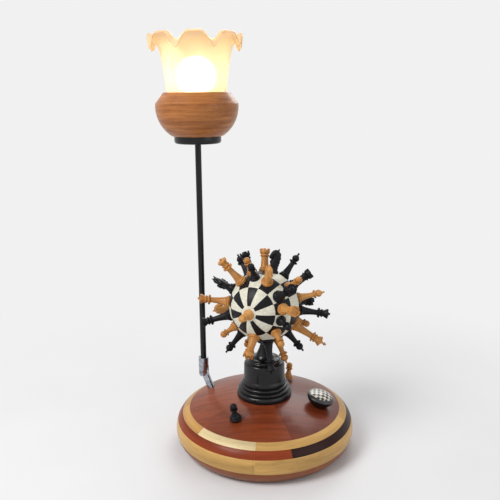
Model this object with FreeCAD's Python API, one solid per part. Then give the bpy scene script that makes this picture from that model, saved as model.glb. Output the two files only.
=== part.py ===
import FreeCAD, Part
import math
import os

V = FreeCAD.Vector
UP = V(0, 0, 1)

# Fits, in millimetres
running_fit = 0.05
glue_fit = 0.02
seat_gap = 0.3

# Base, a turned stack of laminated rings under a domed disc
base_radius = 140.0
edge_radius = 33.0
edge_height = 29.5
felt_thickness = 2.5
felt_margin = 19.0
bottom_ring_thickness = 19.0
wide_ring_thickness = 21.5
red_ring_thickness = 10.5
thin_ring_thickness = 7.0
ring_width = 36.0
dome_rise = 21.2
cover_ledge = 8.0
cover_thickness = 5.0
cover_screw_count = 4
cover_screw_radius = 1.6
cover_screw_head = 3.4
cover_screw_length = 13.0
wire_hole_radius = 7.0

# Cord inlet at the back of the base
gland_bore = 3.5
gland_radius = 6.0
gland_flange_radius = 9.0
gland_flange_thickness = 2.5
gland_inner_reach = 4.5
gland_nut_radius = 8.0
gland_nut_thickness = 3.0

# Pedestal, turned and hollow, with the gear motor inside it
pedestal_foot_radius = 43.0
pedestal_foot_height = 8.4
pedestal_bead_gap = 1.6
pedestal_bead_height = 4.6
pedestal_bead_pitch = 5.4
pedestal_bead_step = 3.4
pedestal_bead_bulge = 1.1
pedestal_beads = 2
pedestal_recess = 3.1
pedestal_body_height = 56.0
pedestal_steps_height = 10.0
pedestal_neck_height = 18.4
pedestal_waist = 32.6
pedestal_waist_height = 29.0
pedestal_cove_height = 5.0
pedestal_cove_depth = 1.4
pedestal_shoulder = 31.8
pedestal_shoulder_round = 3.2
pedestal_cap = 25.6
pedestal_neck_foot = 13.2
pedestal_neck = 5.9
pedestal_cavity = 25.0
pedestal_cavity_height = 50.0
pedestal_screw_circle = 32.0
pedestal_screw_radius = 2.0
pedestal_screw_length = 30.0
motor_radius = 16.5
motor_can_height = 21.0
gearbox_height = 12.0
motor_foot_radius = 24.0
motor_foot_thickness = 2.0
motor_clamp_wall = 1.6
motor_clamp_height = 8.0
motor_screw_circle = 21.0
motor_screw_radius = 1.4
motor_screw_length = 9.0
output_shaft_radius = 3.0
output_shaft_reach = 12.0
shaft_engagement = 6.0

# Spindle, its bush and the coupling
spindle_radius = 2.5
spindle_length = 77.0
coupler_radius = 6.5
coupler_length = 20.0
grub_radius = 1.5
bush_radius = 4.5
bush_length = 22.0
washer_radius = 5.6
washer_thickness = 0.9
hub_radius = 11.6
hub_foot_radius = 8.0
hub_foot_height = 1.8
three_screws = 3

# Ball and its chequer
ball_radius = 53.7
hub_stand = 8.3
ball_bore_end_gap = 2.4
pattern_azimuth = -117.0
pattern_latitude = 3.0
pattern_cap_angle = 12.5
pattern_band_angle = 31.0
flats_per_band = 3

# Chess pieces, turned in the usual club pattern
foot_height = 3.2
foot_step = 2.0
foot_rise = 1.5
collar_rise = 1.0
collar_thickness = 1.6
pawn_height = 27.0
pawn_base = 8.0
pawn_stem = 2.7
pawn_collar = 4.7
pawn_collar_height = 17.2
pawn_head = 4.7
rook_height = 34.0
rook_base = 9.0
rook_stem = 4.6
rook_collar = 5.9
rook_collar_height = 23.5
rook_tower = 6.8
rook_tower_height = 7.5
rook_rim = 1.9
rook_notch = 2.2
bishop_height = 44.0
bishop_base = 8.8
bishop_stem = 3.0
bishop_collar = 5.5
bishop_collar_height = 28.0
bishop_mitre = 4.7
bishop_mitre_height = 5.5
bishop_finial = 1.5
bishop_slot = 1.2
queen_height = 50.0
queen_base = 9.5
queen_stem = 3.4
queen_collar = 6.6
queen_collar_height = 32.0
queen_crown = 6.2
queen_crown_height = 13.5
queen_crown_drop = 1.8
queen_finial = 2.0
king_height = 58.0
king_base = 9.8
king_stem = 3.7
king_collar = 6.9
king_collar_height = 35.0
king_crown = 6.4
king_crown_height = 13.0
king_cross_height = 7.0
king_cross_width = 5.0
king_cross_bar = 1.9
knight_base = 9.0
knight_plinth_height = 7.0
knight_plinth_top = 6.6
knight_head_height = 31.0
knight_neck_width = 10.5
knight_muzzle_reach = 9.0
knight_thickness = 8.0
knight_crest_thickness = 4.0

# Where the chess pieces stand on the ball: azimuth, latitude and turn in degrees
LIGHT_KINGS = ((-12, -31, 0),)
LIGHT_QUEENS = ((174, 5, 0), (-167, 49, 0))
LIGHT_BISHOPS = ((-19, -68, 0), (11, 9, 0), (95, -30, 0))
LIGHT_KNIGHTS = ((156, -12, 200), (-82, 58, 20))
LIGHT_ROOKS = ((-114, -44, 0), (-60, 10, 0), (86, 69, 0))
LIGHT_PAWNS = ((-165, -32, 0), (150, -66, 0), (-69, -31, 0), (-29, 40, 0), (180, 70, 0),
               (-116, 2, 0), (10, -27, 0), (50, -30, 0), (120, 12, 0))
DARK_KINGS = ((75, 34, 0),)
DARK_QUEENS = ((176, -17, 0), (-77, -65, 0), (2, -9, 0), (-64, 30, 0))
DARK_BISHOPS = ((180, -52, 0), (2, -51, 0), (28, 50, 0), (125, 43, 0), (70, 2, 0))
DARK_KNIGHTS = ((21, 75, 160), (174, 28, 90), (125, -30, 0))
DARK_ROOKS = ((28, -4, 0), (8, 34, 0), (137, 62, 0), (62, -52, 0), (145, 15, 0))
DARK_PAWNS = ((-64, -8, 0), (-128, 65, 0), (98, 12, 0), (45, 15, 0))

# Controls on the dome
control_seat_depth = 4.0
knob_azimuth = -15.6
knob_inset = 53.2
knob_radius = 21.5
knob_foot_radius = 13.5
knob_lift = 1.0
knob_skirt_height = 12.4
knob_cap_rim = 1.4
knob_cap_rise = 6.6
knob_recess_radius = 8.0
knob_recess_depth = 2.6
dimmer_radius = 8.5
dimmer_depth = 10.0
dimmer_bushing_radius = 4.7
dimmer_shaft_radius = 3.0
dimmer_shaft_length = 18.0
dimmer_nut_radius = 6.8
nut_thickness = 1.6
pocket_clearance = 1.2
lamp_button_azimuth = -121.6
lamp_button_inset = 55.9
motor_button_azimuth = 55.4
motor_button_inset = 68.4
button_travel = 2.0
button_base = 9.0
button_lift = 2.3
button_hollow_radius = 5.9
button_hollow_depth = 1.9
switch_radius = 7.0
switch_depth = 16.0
switch_bushing_radius = 3.4
switch_nut_radius = 5.2
plunger_radius = 1.5
plunger_length = 17.0

# Arm, with its knuckle
arm_azimuth = 152.0
rod_gap = 3.85
rod_radius = 4.75
rod_bore = 3.2
pivot_height = 96.0
stub_foot_inset = 8.25
stub_radius = 6.0
stub_bore = 3.2
stub_end = 4.0
stub_shoulder = 9.0
tongue_thickness = 5.0
tongue_clearance = 0.3
pivot_radius = 2.0
pivot_head_radius = 3.2
pivot_head_thickness = 1.3
ferrule_radius = 8.2
ferrule_top = 119.2
slot_reach = 8.0
rod_seat = 10.5
arm_block_radius = 10.0
arm_block_depth = 12.8
arm_washer_thickness = 1.0
arm_nut_radius = 8.6
arm_nut_thickness = 5.0
rod_top = 501.0

# Lamp head
plate_bottom = 468.3
plate_radius = 35.8
plate_thickness = 11.2
plate_round = 4.0
cup_bottom_radius = 39.0
cup_belly_radius = 54.6
cup_widest_radius = 62.4
cup_bowl_height = 48.0
cup_height = 64.4
cup_rim_radius = 50.0
cup_mouth = 46.4
cup_mouth_depth = 13.0
cup_bore = 41.5
cup_bore_depth = 38.0
cup_floor_radius = 26.0
cup_floor = 9.5
head_nut_radius = 8.6
head_nut_thickness = 5.0
holder_radius = 19.0
holder_neck_radius = 11.0
holder_cap_height = 13.0
holder_shell_height = 34.0
holder_wall = 3.2
insert_height = 9.0
sleeve_radius = 14.6
sleeve_wall = 0.6
sleeve_height = 20.0
lamp_cap_radius = 13.4
lamp_cap_height = 23.0
lamp_contact_radius = 4.5
lamp_contact_height = 3.0
bulb_radius = 30.0
bulb_top = 597.0
bulb_wall = 1.0
shade_wall = 2.6
shade_lobes = 8
points_per_lobe = 5
front_lobe_azimuth = -86.6
lobe_breadth = 3.0

# Meridians of the shade as (radius, height above its foot): the plain body,
# then the lip where it rises and curls over in a lobe, and where it dips between two
SHADE_BODY = ((44.4, 0.0), (45.1, 14.0), (47.2, 34.0), (49.6, 52.0), (52.3, 66.0))
SHADE_LOBE = ((54.4, 74.0), (56.7, 82.0), (59.5, 89.6), (63.2, 94.6),
              (67.4, 93.4), (69.4, 86.5), (68.0, 77.5))
SHADE_DIP = ((54.4, 72.0), (56.0, 76.0), (58.2, 79.4), (60.8, 81.7),
             (63.8, 82.4), (66.8, 81.8), (69.2, 80.0))

# Radii and circles that follow from the sizes above
felt_radius = base_radius - felt_margin
ring_bore = base_radius - ring_width
cover_radius = ring_bore + cover_ledge
cover_screw_circle = ring_bore + cover_ledge / 2
knob_circle = base_radius - knob_inset
lamp_button_circle = base_radius - lamp_button_inset
motor_button_circle = base_radius - motor_button_inset
rod_circle = ball_radius + queen_height + rod_gap + rod_radius

# Levels that follow from the sizes above
bottom_ring_top = felt_thickness + bottom_ring_thickness
wide_ring_top = bottom_ring_top + wide_ring_thickness
red_ring_top = wide_ring_top + red_ring_thickness
thin_ring_top = red_ring_top + thin_ring_thickness
cover_top = felt_thickness + cover_thickness
gland_height = bottom_ring_top + wide_ring_thickness / 2


def edge_at(height):
    """Radius of the rounded edge of the base at a height."""
    return base_radius - edge_radius + math.sqrt(edge_radius ** 2 - (height - edge_height) ** 2)


dome_edge = edge_at(thin_ring_top)
dome_sphere = (dome_edge ** 2 + dome_rise ** 2) / (2 * dome_rise)


def dome_at(radius):
    """Height of the dome at a distance from the axis."""
    return thin_ring_top + dome_rise - dome_sphere + math.sqrt(dome_sphere ** 2 - radius ** 2)


pedestal_seat = thin_ring_top + dome_rise - pedestal_recess
pedestal_top = pedestal_seat + pedestal_body_height + pedestal_steps_height + pedestal_neck_height
ball_height = pedestal_top + hub_stand + ball_radius
motor_bottom = pedestal_seat + motor_foot_thickness
gearbox_bottom = motor_bottom + motor_can_height
gearbox_top = gearbox_bottom + gearbox_height
output_shaft_top = gearbox_top + output_shaft_reach
coupler_bottom = gearbox_top + 2 * running_fit + seat_gap
spindle_bottom = output_shaft_top + seat_gap
spindle_top = spindle_bottom + spindle_length
bush_bottom = pedestal_top - bush_length
hub_bottom = pedestal_top + washer_thickness + seat_gap
cup_bottom = plate_bottom + plate_thickness
cup_top = cup_bottom + cup_height
ledge = cup_top - cup_mouth_depth
holder_bottom = cup_bottom + cup_floor + head_nut_thickness
shell_bottom = holder_bottom + holder_cap_height
shade_foot = ledge + seat_gap

# The stub leans from the pivot to where it leaves the dome's underside
stub_climb = pivot_height - thin_ring_top
stub_lean = math.degrees(math.atan2(rod_circle - ring_bore + stub_foot_inset, stub_climb))
arm_block_reach = stub_climb / math.cos(math.radians(stub_lean)) + arm_block_depth
stub_length = arm_block_reach + arm_washer_thickness + arm_nut_thickness + stub_end


def outline_face(start, *steps):
    """Face in the XZ plane: a step is a point for a line, or a (middle, end) pair for an arc."""
    here = V(start[0], 0, start[1])
    first = here
    edges = []
    for step in steps:
        if isinstance(step[0], tuple):
            middle, end = (V(p[0], 0, p[1]) for p in step)
            edges.append(Part.Arc(here, middle, end).toShape())
        else:
            end = V(step[0], 0, step[1])
            edges.append(Part.LineSegment(here, end).toShape())
        here = end
    if not here.isEqual(first, 1e-6):
        edges.append(Part.LineSegment(here, first).toShape())
    return Part.Face(Part.Wire(edges))


def turned(start, *steps):
    """Outline of (radius, height) points turned round the Z axis."""
    return outline_face(start, *steps).revolve(V(0, 0, 0), UP, 360)


def rod(radius, low, high, x=0.0, y=0.0):
    """Upright cylinder between two heights."""
    return Part.makeCylinder(radius, high - low, V(x, y, low), UP)


def tube(radius, bore, low, high):
    """Upright tube between two heights."""
    return rod(radius, low, high).cut(rod(bore, low - 1, high + 1))


def hex_nut(corner_radius, bore, low, high):
    """Hexagonal nut between two heights."""
    corners = [V(corner_radius * math.cos(math.radians(60 * k)),
                 corner_radius * math.sin(math.radians(60 * k)), low) for k in range(7)]
    prism = Part.Face(Part.makePolygon(corners)).extrude(V(0, 0, high - low))
    return prism.cut(rod(bore, low - 1, high + 1))


def moved(shape, x=0.0, y=0.0, z=0.0):
    """Shape shifted to another place."""
    copy = shape.copy()
    copy.translate(V(x, y, z))
    return copy


def spun(shape, angle, axis=UP, centre=V(0, 0, 0)):
    """Shape turned about an axis."""
    copy = shape.copy()
    copy.rotate(centre, axis, angle)
    return copy


def ringed(shape, count, first=0.0):
    """Copies of a shape evenly round the Z axis."""
    return [spun(shape, first + 360.0 * k / count) for k in range(count)]


def on_dome(shape, azimuth, circle):
    """Shape made at the origin, set square to the dome at a point of it."""
    tilt = math.degrees(math.asin(circle / dome_sphere))
    leaned = spun(shape, tilt, V(0, 1, 0))
    return spun(moved(leaned, circle, 0, dome_at(circle)), azimuth)


def on_ball(shape, azimuth, latitude, turn=0.0, distance=ball_radius):
    """Shape made upright at the origin, stood on the ball and pointing away from its centre."""
    lifted = moved(spun(shape, turn), 0, 0, distance)
    leaned = spun(lifted, 90 - latitude, V(0, 1, 0))
    return moved(spun(leaned, azimuth), 0, 0, ball_height)


def on_stub(shape):
    """Shape made along +Z from the pivot, laid down along the leaning stub of the arm."""
    leaned = spun(shape, 180 + stub_lean, V(0, 1, 0))
    return moved(leaned, rod_circle, 0, pivot_height)


def on_arm(shape):
    """Shape made in the arm's own plane, turned to where the arm stands."""
    return spun(shape, arm_azimuth)


def on_rod(shape):
    """Shape made on the Z axis, moved to the axis of the rod."""
    return on_arm(moved(shape, rod_circle))


# Laminated base

def laminate(low, high):
    """One ring of the stack, with the rounded edge of the base outside.
    A pocket leaves the stub's washer and nut free where they come near the ring."""
    middle = (low + high) / 2
    ring = turned((ring_bore, low), (edge_at(low), low),
                  ((edge_at(middle), middle), (edge_at(high), high)), (ring_bore, high))
    pocket = on_arm(on_stub(rod(arm_block_radius + seat_gap, arm_block_reach, stub_length + seat_gap)))
    return ring.cut(pocket)


def cover_screw(gap=0.0):
    """Countersunk wood screw, or the hole it needs."""
    slope = cover_screw_head - cover_screw_radius
    low = felt_thickness
    return turned((0, low), (cover_screw_head + gap, low), (cover_screw_radius + gap, low + slope),
                  (cover_screw_radius + gap, low + cover_screw_length + gap),
                  (0, low + cover_screw_length + gap))


def cover_screws(gap=0.0):
    """The screws of the cover plate, or their holes."""
    return ringed(moved(cover_screw(gap), cover_screw_circle), cover_screw_count, 45.0)


def base_bottom_ring():
    """Lowest ring, rebated for the cover plate."""
    ring = laminate(felt_thickness, bottom_ring_top)
    rebate = rod(cover_radius, felt_thickness - 1, cover_top)
    return ring.cut([rebate] + cover_screws(running_fit))


def maple_ring_wide():
    """Widest ring, drilled and spot faced at the back for the cord inlet."""
    ring = laminate(bottom_ring_top, wide_ring_top)
    hole = Part.makeCylinder(gland_radius + running_fit, base_radius, V(0, 0, gland_height), V(0, 1, 0))
    face_depth = base_radius - gland_flange_thickness - gland_radius / 4
    spot = Part.makeCylinder(gland_flange_radius + running_fit, base_radius, V(0, face_depth, gland_height),
                             V(0, 1, 0))
    return ring.cut([hole, spot])


def base_dome():
    """Domed disc with the pedestal's recess and a seat and hole for each control."""
    middle = dome_edge / 2
    disc = turned((0, thin_ring_top), (dome_edge, thin_ring_top),
                  ((middle, dome_at(middle)), (0, dome_at(0))))
    cuts = [rod(pedestal_foot_radius + running_fit, pedestal_seat, pedestal_top),
            rod(wire_hole_radius, thin_ring_top - 1, pedestal_seat + 1)]
    for azimuth, circle, body, bushing in CONTROLS:
        seat = rod(body + pocket_clearance, -dome_rise, -control_seat_depth)
        hole = rod(bushing + running_fit, -dome_rise, dome_rise)
        cuts += [on_dome(seat, azimuth, circle), on_dome(hole, azimuth, circle)]
    cuts.append(on_arm(on_stub(rod(stub_radius + running_fit, stub_shoulder, stub_length))))
    cuts += pedestal_screws(running_fit) + motor_screws(running_fit)
    return disc.cut(cuts)


def base_cover_plate():
    """Round plate that closes the hollow of the base."""
    plate = rod(cover_radius - seat_gap, felt_thickness, cover_top)
    return plate.cut(cover_screws(running_fit))


def felt_pad():
    """Felt under the base, holed so that a driver reaches the screws."""
    pad = rod(felt_radius, 0, felt_thickness)
    hole = rod(cover_screw_head + seat_gap, -1, felt_thickness + 1, cover_screw_circle)
    return pad.cut(ringed(hole, cover_screw_count, 45.0))


gland_face = base_radius - gland_flange_thickness - gland_radius / 4
gland_inner_end = ring_bore - gland_inner_reach


def cord_gland():
    """Flanged bushing that the supply cord would pass through."""
    flange_end = gland_face + gland_flange_thickness
    body = turned((gland_bore, gland_inner_end), (gland_radius, gland_inner_end),
                  (gland_radius, gland_face), (gland_flange_radius, gland_face),
                  (gland_flange_radius, flange_end - 1), (gland_flange_radius - 1, flange_end),
                  (gland_bore, flange_end))
    return moved(spun(body, -90, V(1, 0, 0)), 0, 0, gland_height)


def cord_gland_nut():
    """Nut that holds the bushing from inside."""
    wall = math.sqrt(ring_bore ** 2 - gland_nut_radius ** 2) - seat_gap
    nut = hex_nut(gland_nut_radius, gland_radius + running_fit, wall - gland_nut_thickness, wall)
    return moved(spun(nut, -90, V(1, 0, 0)), 0, 0, gland_height)


# Pedestal and drive

def pedestal_screw(gap=0.0):
    """Pan head wood screw driven up through the dome."""
    low = thin_ring_top
    head = 2 * pedestal_screw_radius
    return turned((0, low - pedestal_screw_radius), (head, low - pedestal_screw_radius), (head, low),
                  (pedestal_screw_radius + gap, low),
                  (pedestal_screw_radius + gap, low + pedestal_screw_length + gap),
                  (0, low + pedestal_screw_length + gap))


def pedestal_screws(gap=0.0):
    """The screws that hold the pedestal, or their holes."""
    return ringed(moved(pedestal_screw(gap), pedestal_screw_circle), three_screws, 30.0)


def motor_screw(gap=0.0):
    """Small pan head screw through the motor foot into the dome."""
    top = motor_bottom
    low = top - motor_screw_length
    return turned((0, low - gap), (motor_screw_radius + gap, low - gap), (motor_screw_radius + gap, top),
                  (1.7 * motor_screw_radius, top), (1.7 * motor_screw_radius, top + motor_screw_radius),
                  (0, top + motor_screw_radius))


def motor_screws(gap=0.0):
    """The screws of the motor foot, or their holes."""
    return ringed(moved(motor_screw(gap), motor_screw_circle), three_screws, 90.0)


def pedestal_body():
    """Turned pedestal: foot, two beads, drawn-in body, stepped shoulder and a tapering neck."""
    z = pedestal_seat
    foot = pedestal_foot_radius
    profile = [(foot, z), (foot, z + pedestal_foot_height)]
    for k in range(pedestal_beads):
        low = z + pedestal_foot_height + pedestal_bead_gap + k * pedestal_bead_pitch
        radius = foot - (k + 1) * pedestal_bead_step
        bulge = (radius + pedestal_bead_bulge, low + 0.46 * pedestal_bead_height)
        profile += [(radius, low), (bulge, (radius - pedestal_bead_bulge, low + pedestal_bead_height))]
    waist = z + pedestal_waist_height
    body_top = z + pedestal_body_height
    profile += [(pedestal_waist + pedestal_cove_depth, waist - pedestal_cove_height),
                (pedestal_waist, waist),
                (pedestal_shoulder, body_top - pedestal_shoulder_round),
                (pedestal_shoulder - pedestal_shoulder_round, body_top)]
    steps = pedestal_steps_height
    profile += [(pedestal_cap, body_top + 0.2 * steps), (pedestal_cap - 0.6, body_top + 0.42 * steps),
                (pedestal_cap - 3.2, body_top + 0.54 * steps),
                (pedestal_neck_foot + 3.2, body_top + 0.64 * steps),
                (pedestal_neck_foot, body_top + steps), (pedestal_neck, pedestal_top)]
    outer = turned((0, z), *profile, (0, pedestal_top))
    cavity_top = z + pedestal_cavity_height
    inner = turned(
        (0, z - 1), (pedestal_cavity, z - 1), (pedestal_cavity, cavity_top),
        (coupler_radius + 2, cavity_top + 6), (coupler_radius + 2, bush_bottom - 3),
        (spindle_radius + 1, bush_bottom - 3), (spindle_radius + 1, bush_bottom),
        (bush_radius + glue_fit, bush_bottom), (bush_radius + glue_fit, pedestal_top + 1),
        (0, pedestal_top + 1))
    return outer.cut([inner] + pedestal_screws(running_fit))


def motor_foot():
    """Pressed foot with an upstand that clamps the motor."""
    clamp = motor_radius + running_fit + motor_clamp_wall
    plate = turned((wire_hole_radius, pedestal_seat), (motor_foot_radius, pedestal_seat),
                   (motor_foot_radius, motor_bottom), (clamp, motor_bottom),
                   (clamp, motor_bottom + motor_clamp_height),
                   (motor_radius + running_fit, motor_bottom + motor_clamp_height),
                   (motor_radius + running_fit, motor_bottom), (wire_hole_radius, motor_bottom))
    return plate.cut(motor_screws(running_fit))


def gearbox():
    """Gear case on the motor, bored for its output shaft."""
    case = rod(motor_radius, gearbox_bottom, gearbox_top)
    return case.cut(rod(output_shaft_radius + running_fit, gearbox_top - shaft_engagement, gearbox_top + 1))


def grub_holes(gap=0.0):
    """The two set screws of the coupling, or their holes."""
    heights = (coupler_bottom + coupler_length / 4, coupler_bottom + 3 * coupler_length / 4 + 1)
    shafts = (output_shaft_radius, spindle_radius)
    return [Part.makeCylinder(grub_radius + gap, coupler_radius - shaft - 2 * glue_fit,
                              V(shaft + 2 * glue_fit, 0, height), V(1, 0, 0))
            for height, shaft in zip(heights, shafts)]


def coupler():
    """Sleeve that joins the output shaft to the spindle."""
    top = coupler_bottom + coupler_length
    body = rod(coupler_radius, coupler_bottom, top)
    cuts = [rod(output_shaft_radius + glue_fit, coupler_bottom - 1, output_shaft_top + seat_gap / 2),
            rod(spindle_radius + glue_fit, coupler_bottom - 1, top + 1)]
    return body.cut(cuts + grub_holes(glue_fit))


def ball_hub():
    """Turned collar under the ball, dished to sit against it."""
    dish_edge = ball_height - math.sqrt(ball_radius ** 2 - hub_radius ** 2)
    body = turned((spindle_radius + glue_fit, hub_bottom), (hub_foot_radius, hub_bottom),
                  (hub_radius, hub_bottom + hub_foot_height), (hub_radius, dish_edge),
                  (spindle_radius + glue_fit, dish_edge))
    return body.cut(Part.makeSphere(ball_radius + running_fit, V(0, 0, ball_height)))


def ball():
    """Ball turned about the axis of its chequer, in short flats that follow the round."""
    angles = [0.0, pattern_cap_angle]
    while angles[-1] < 180 - pattern_cap_angle - 0.1:
        angles.append(angles[-1] + pattern_band_angle / flats_per_band)
    angles.append(180.0)
    points = [(ball_radius * math.sin(math.radians(a)), ball_radius * math.cos(math.radians(a)))
              for a in angles[1:-1]]
    body = turned((0, -ball_radius), *reversed(points), (0, ball_radius))
    placed = on_ball(body, pattern_azimuth, pattern_latitude, distance=0.0)
    bottom = ball_height - ball_radius
    return placed.cut(rod(spindle_radius + running_fit, bottom - 1, spindle_top + ball_bore_end_gap))


# Chess pieces, each made upright at the origin

def stem_points(base, stem, collar, collar_height):
    """Foot, flared stem and collar that all the turned pieces share."""
    return [(base, 0), (base, foot_height), (base - foot_step, foot_height + foot_rise),
            (stem, collar_height - collar_rise), (collar, collar_height),
            (stem, collar_height + collar_thickness)]


def head_points(radius, centre, angles):
    """Points of a ball-shaped head at the given latitudes."""
    return [(radius * math.cos(math.radians(a)), centre + radius * math.sin(math.radians(a)))
            for a in angles]


def pawn(height=pawn_height, base=pawn_base):
    """Pawn with a ball head."""
    head = head_points(pawn_head, height - pawn_head, (-50, -5, 40, 72))
    return turned((0, 0), *stem_points(base, pawn_stem, pawn_collar, pawn_collar_height),
                  *head, (0, height))


def rook():
    """Rook with a notched tower."""
    tower_low = rook_height - rook_tower_height
    floor = rook_height - rook_notch
    body = turned((0, 0), *stem_points(rook_base, rook_stem, rook_collar, rook_collar_height),
                  (rook_tower, tower_low + collar_thickness), (rook_tower, rook_height),
                  (rook_tower - rook_rim, rook_height), (rook_tower - rook_rim, floor), (0, floor))
    span = 3 * rook_tower
    notches = [Part.makeBox(span, rook_notch, rook_notch, V(-span / 2, -rook_notch / 2, floor)),
               Part.makeBox(rook_notch, span, rook_notch, V(-rook_notch / 2, -span / 2, floor))]
    return body.cut(notches)


def bishop():
    """Bishop with a slit mitre and a small finial."""
    mitre = bishop_collar_height + collar_thickness + bishop_mitre_height
    tip = bishop_height - 2 * bishop_finial
    body = turned((0, 0), *stem_points(bishop_base, bishop_stem, bishop_collar, bishop_collar_height),
                  (bishop_mitre, mitre), (bishop_mitre * 0.72, mitre + 3.2), (bishop_finial * 0.6, tip),
                  (bishop_finial, tip + bishop_finial), (0, bishop_height))
    slit = Part.makeBox(2 * bishop_mitre, 4 * bishop_mitre, bishop_slot, V(0, -2 * bishop_mitre, 0))
    slit = moved(spun(slit, -50, V(0, 1, 0)), bishop_finial, 0, mitre)
    return body.cut(slit)


def queen():
    """Queen with a second collar, a flared coronet and a ball finial."""
    crown_low = queen_height - queen_crown_height
    rim = queen_height - 2 * queen_finial - queen_crown_drop / 2
    body = turned((0, 0), *stem_points(queen_base, queen_stem, queen_collar, queen_collar_height),
                  (queen_collar * 0.78, crown_low), (queen_stem + 0.5, crown_low + collar_thickness),
                  (queen_crown, rim), (queen_crown - 1.4, rim),
                  (queen_finial * 0.6, rim - queen_crown_drop / 3),
                  (queen_finial, queen_height - queen_finial),
                  (0, queen_height))
    return body


def king():
    """King with a second collar, a broad crown and a cross."""
    crown_low = king_height - king_cross_height - king_crown_height
    rim = crown_low + king_crown_height - 3.0
    cross_low = rim + 2.2
    body = turned((0, 0), *stem_points(king_base, king_stem, king_collar, king_collar_height),
                  (king_collar * 0.8, crown_low), (king_stem + 0.5, crown_low + collar_thickness),
                  (king_crown, rim), (king_cross_bar, cross_low), (0, cross_low))
    half = king_cross_bar / 2
    upright = Part.makeBox(king_cross_bar, king_cross_bar, king_height - cross_low + 1,
                           V(-half, -half, cross_low - 1))
    arm_low = king_height - 2 * king_cross_bar - half
    arms = Part.makeBox(king_cross_width, king_cross_bar, king_cross_bar,
                        V(-king_cross_width / 2, -half, arm_low))
    return body.fuse([upright, arms]).removeSplitter()


def knight():
    """Knight: a turned plinth with a carved horse's head, thinner towards its crest."""
    plinth = turned((0, 0), (knight_base, 0), (knight_base, foot_height),
                    (knight_base - foot_step, foot_height + foot_rise),
                    (knight_plinth_top, knight_plinth_height), (0, knight_plinth_height))
    half = knight_neck_width / 2
    reach = knight_muzzle_reach
    low = knight_plinth_height
    top = low + knight_head_height
    head = outline_face(
        (-half, low), (half, low), (half - 0.4, low + 4), ((2.6, low + 9), (2.4, low + 14)),
        (reach - 3.0, low + 13.4), (reach - 0.4, low + 15.2), (reach, low + 18.0),
        (reach - 4.2, low + 23.8), (2.2, top - 3.6), (0.8, top), (-1.2, top - 3.4),
        ((-half - 1.2, low + 17), (-half, low)))
    block = head.extrude(V(0, knight_thickness, 0))
    block.translate(V(0, -knight_thickness / 2, 0))
    side = knight_thickness / 2
    crest = knight_crest_thickness / 2
    back = -2 * knight_base
    taper = Part.Face(Part.makePolygon([V(back, -side, low), V(back, side, low), V(back, crest, top + 1),
                                        V(back, -crest, top + 1), V(back, -side, low)]))
    return plinth.fuse(block.common(taper.extrude(V(4 * knight_base, 0, 0)))).removeSplitter()


def army(maker, places):
    """A kind of chess piece at each of its places on the ball."""
    piece = maker()
    return Part.makeCompound([on_ball(piece, *place) for place in places])


# Controls

CONTROLS = ((knob_azimuth, knob_circle, dimmer_radius, dimmer_bushing_radius),
            (lamp_button_azimuth, lamp_button_circle, switch_radius, switch_bushing_radius),
            (motor_button_azimuth, motor_button_circle, switch_radius, switch_bushing_radius))
LAMP_BUTTON = (lamp_button_azimuth, lamp_button_circle)
MOTOR_BUTTON = (motor_button_azimuth, motor_button_circle)
KNOB = (knob_azimuth, knob_circle)
nut_low = 2 * running_fit
knob_skirt_top = knob_lift + knob_skirt_height


def threaded_case(radius, depth, bushing, bore):
    """Round case under the dome with a bushing that passes up through it."""
    top = nut_low + nut_thickness
    body = rod(radius, -control_seat_depth - depth, -control_seat_depth)
    return body.fuse(rod(bushing, -control_seat_depth, top)).cut(
        rod(bore, -control_seat_depth - depth / 2, top + 1)).removeSplitter()


def dimmer_case():
    """Dimmer under the dome."""
    case = threaded_case(dimmer_radius, dimmer_depth, dimmer_bushing_radius,
                         dimmer_shaft_radius + running_fit)
    return on_dome(case, *KNOB)


def dimmer_nut():
    """Nut of the dimmer, hidden under the knob."""
    nut = hex_nut(dimmer_nut_radius, dimmer_bushing_radius + running_fit, nut_low, nut_low + nut_thickness)
    return on_dome(nut, *KNOB)


dimmer_shaft_low = -control_seat_depth - dimmer_depth / 2 + seat_gap


def dimmer_shaft():
    """Shaft that the knob turns."""
    return on_dome(rod(dimmer_shaft_radius, dimmer_shaft_low, dimmer_shaft_low + dimmer_shaft_length), *KNOB)


def knob_skirt():
    """Black turned skirt of the knob, hollow over the nut."""
    body = turned((0, knob_lift), (knob_foot_radius, knob_lift),
                  ((0.55 * knob_foot_radius + 0.45 * knob_radius, knob_lift + 0.62 * knob_skirt_height),
                   (knob_radius, knob_skirt_top)), (0, knob_skirt_top))
    shaft_end = dimmer_shaft_low + dimmer_shaft_length
    cuts = [rod(knob_recess_radius, 0, knob_lift + knob_recess_depth),
            rod(dimmer_shaft_radius + glue_fit, 0, min(shaft_end + running_fit, knob_skirt_top - 1))]
    return on_dome(body.cut(cuts), *KNOB)


def knob_cap():
    """Domed chequered cap on the knob."""
    top = knob_skirt_top + knob_cap_rim + knob_cap_rise
    rim = knob_skirt_top + knob_cap_rim
    sphere = (knob_radius ** 2 + knob_cap_rise ** 2) / (2 * knob_cap_rise)
    middle = (knob_radius / 2, top - sphere + math.sqrt(sphere ** 2 - knob_radius ** 2 / 4))
    return on_dome(turned((0, knob_skirt_top), (knob_radius, knob_skirt_top), (knob_radius, rim),
                          (middle, (0, top))), *KNOB)


def switch_case(place):
    """Push switch under the dome."""
    case = threaded_case(switch_radius, switch_depth, switch_bushing_radius, plunger_radius + running_fit)
    return on_dome(case, *place)


def switch_nuts():
    """Nuts of the two push switches."""
    nut = hex_nut(switch_nut_radius, switch_bushing_radius + running_fit, nut_low, nut_low + nut_thickness)
    return Part.makeCompound([on_dome(nut, *LAMP_BUTTON), on_dome(nut, *MOTOR_BUTTON)])


plunger_low = -control_seat_depth - switch_depth / 2 + button_travel + seat_gap
plunger_top = plunger_low + plunger_length


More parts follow.
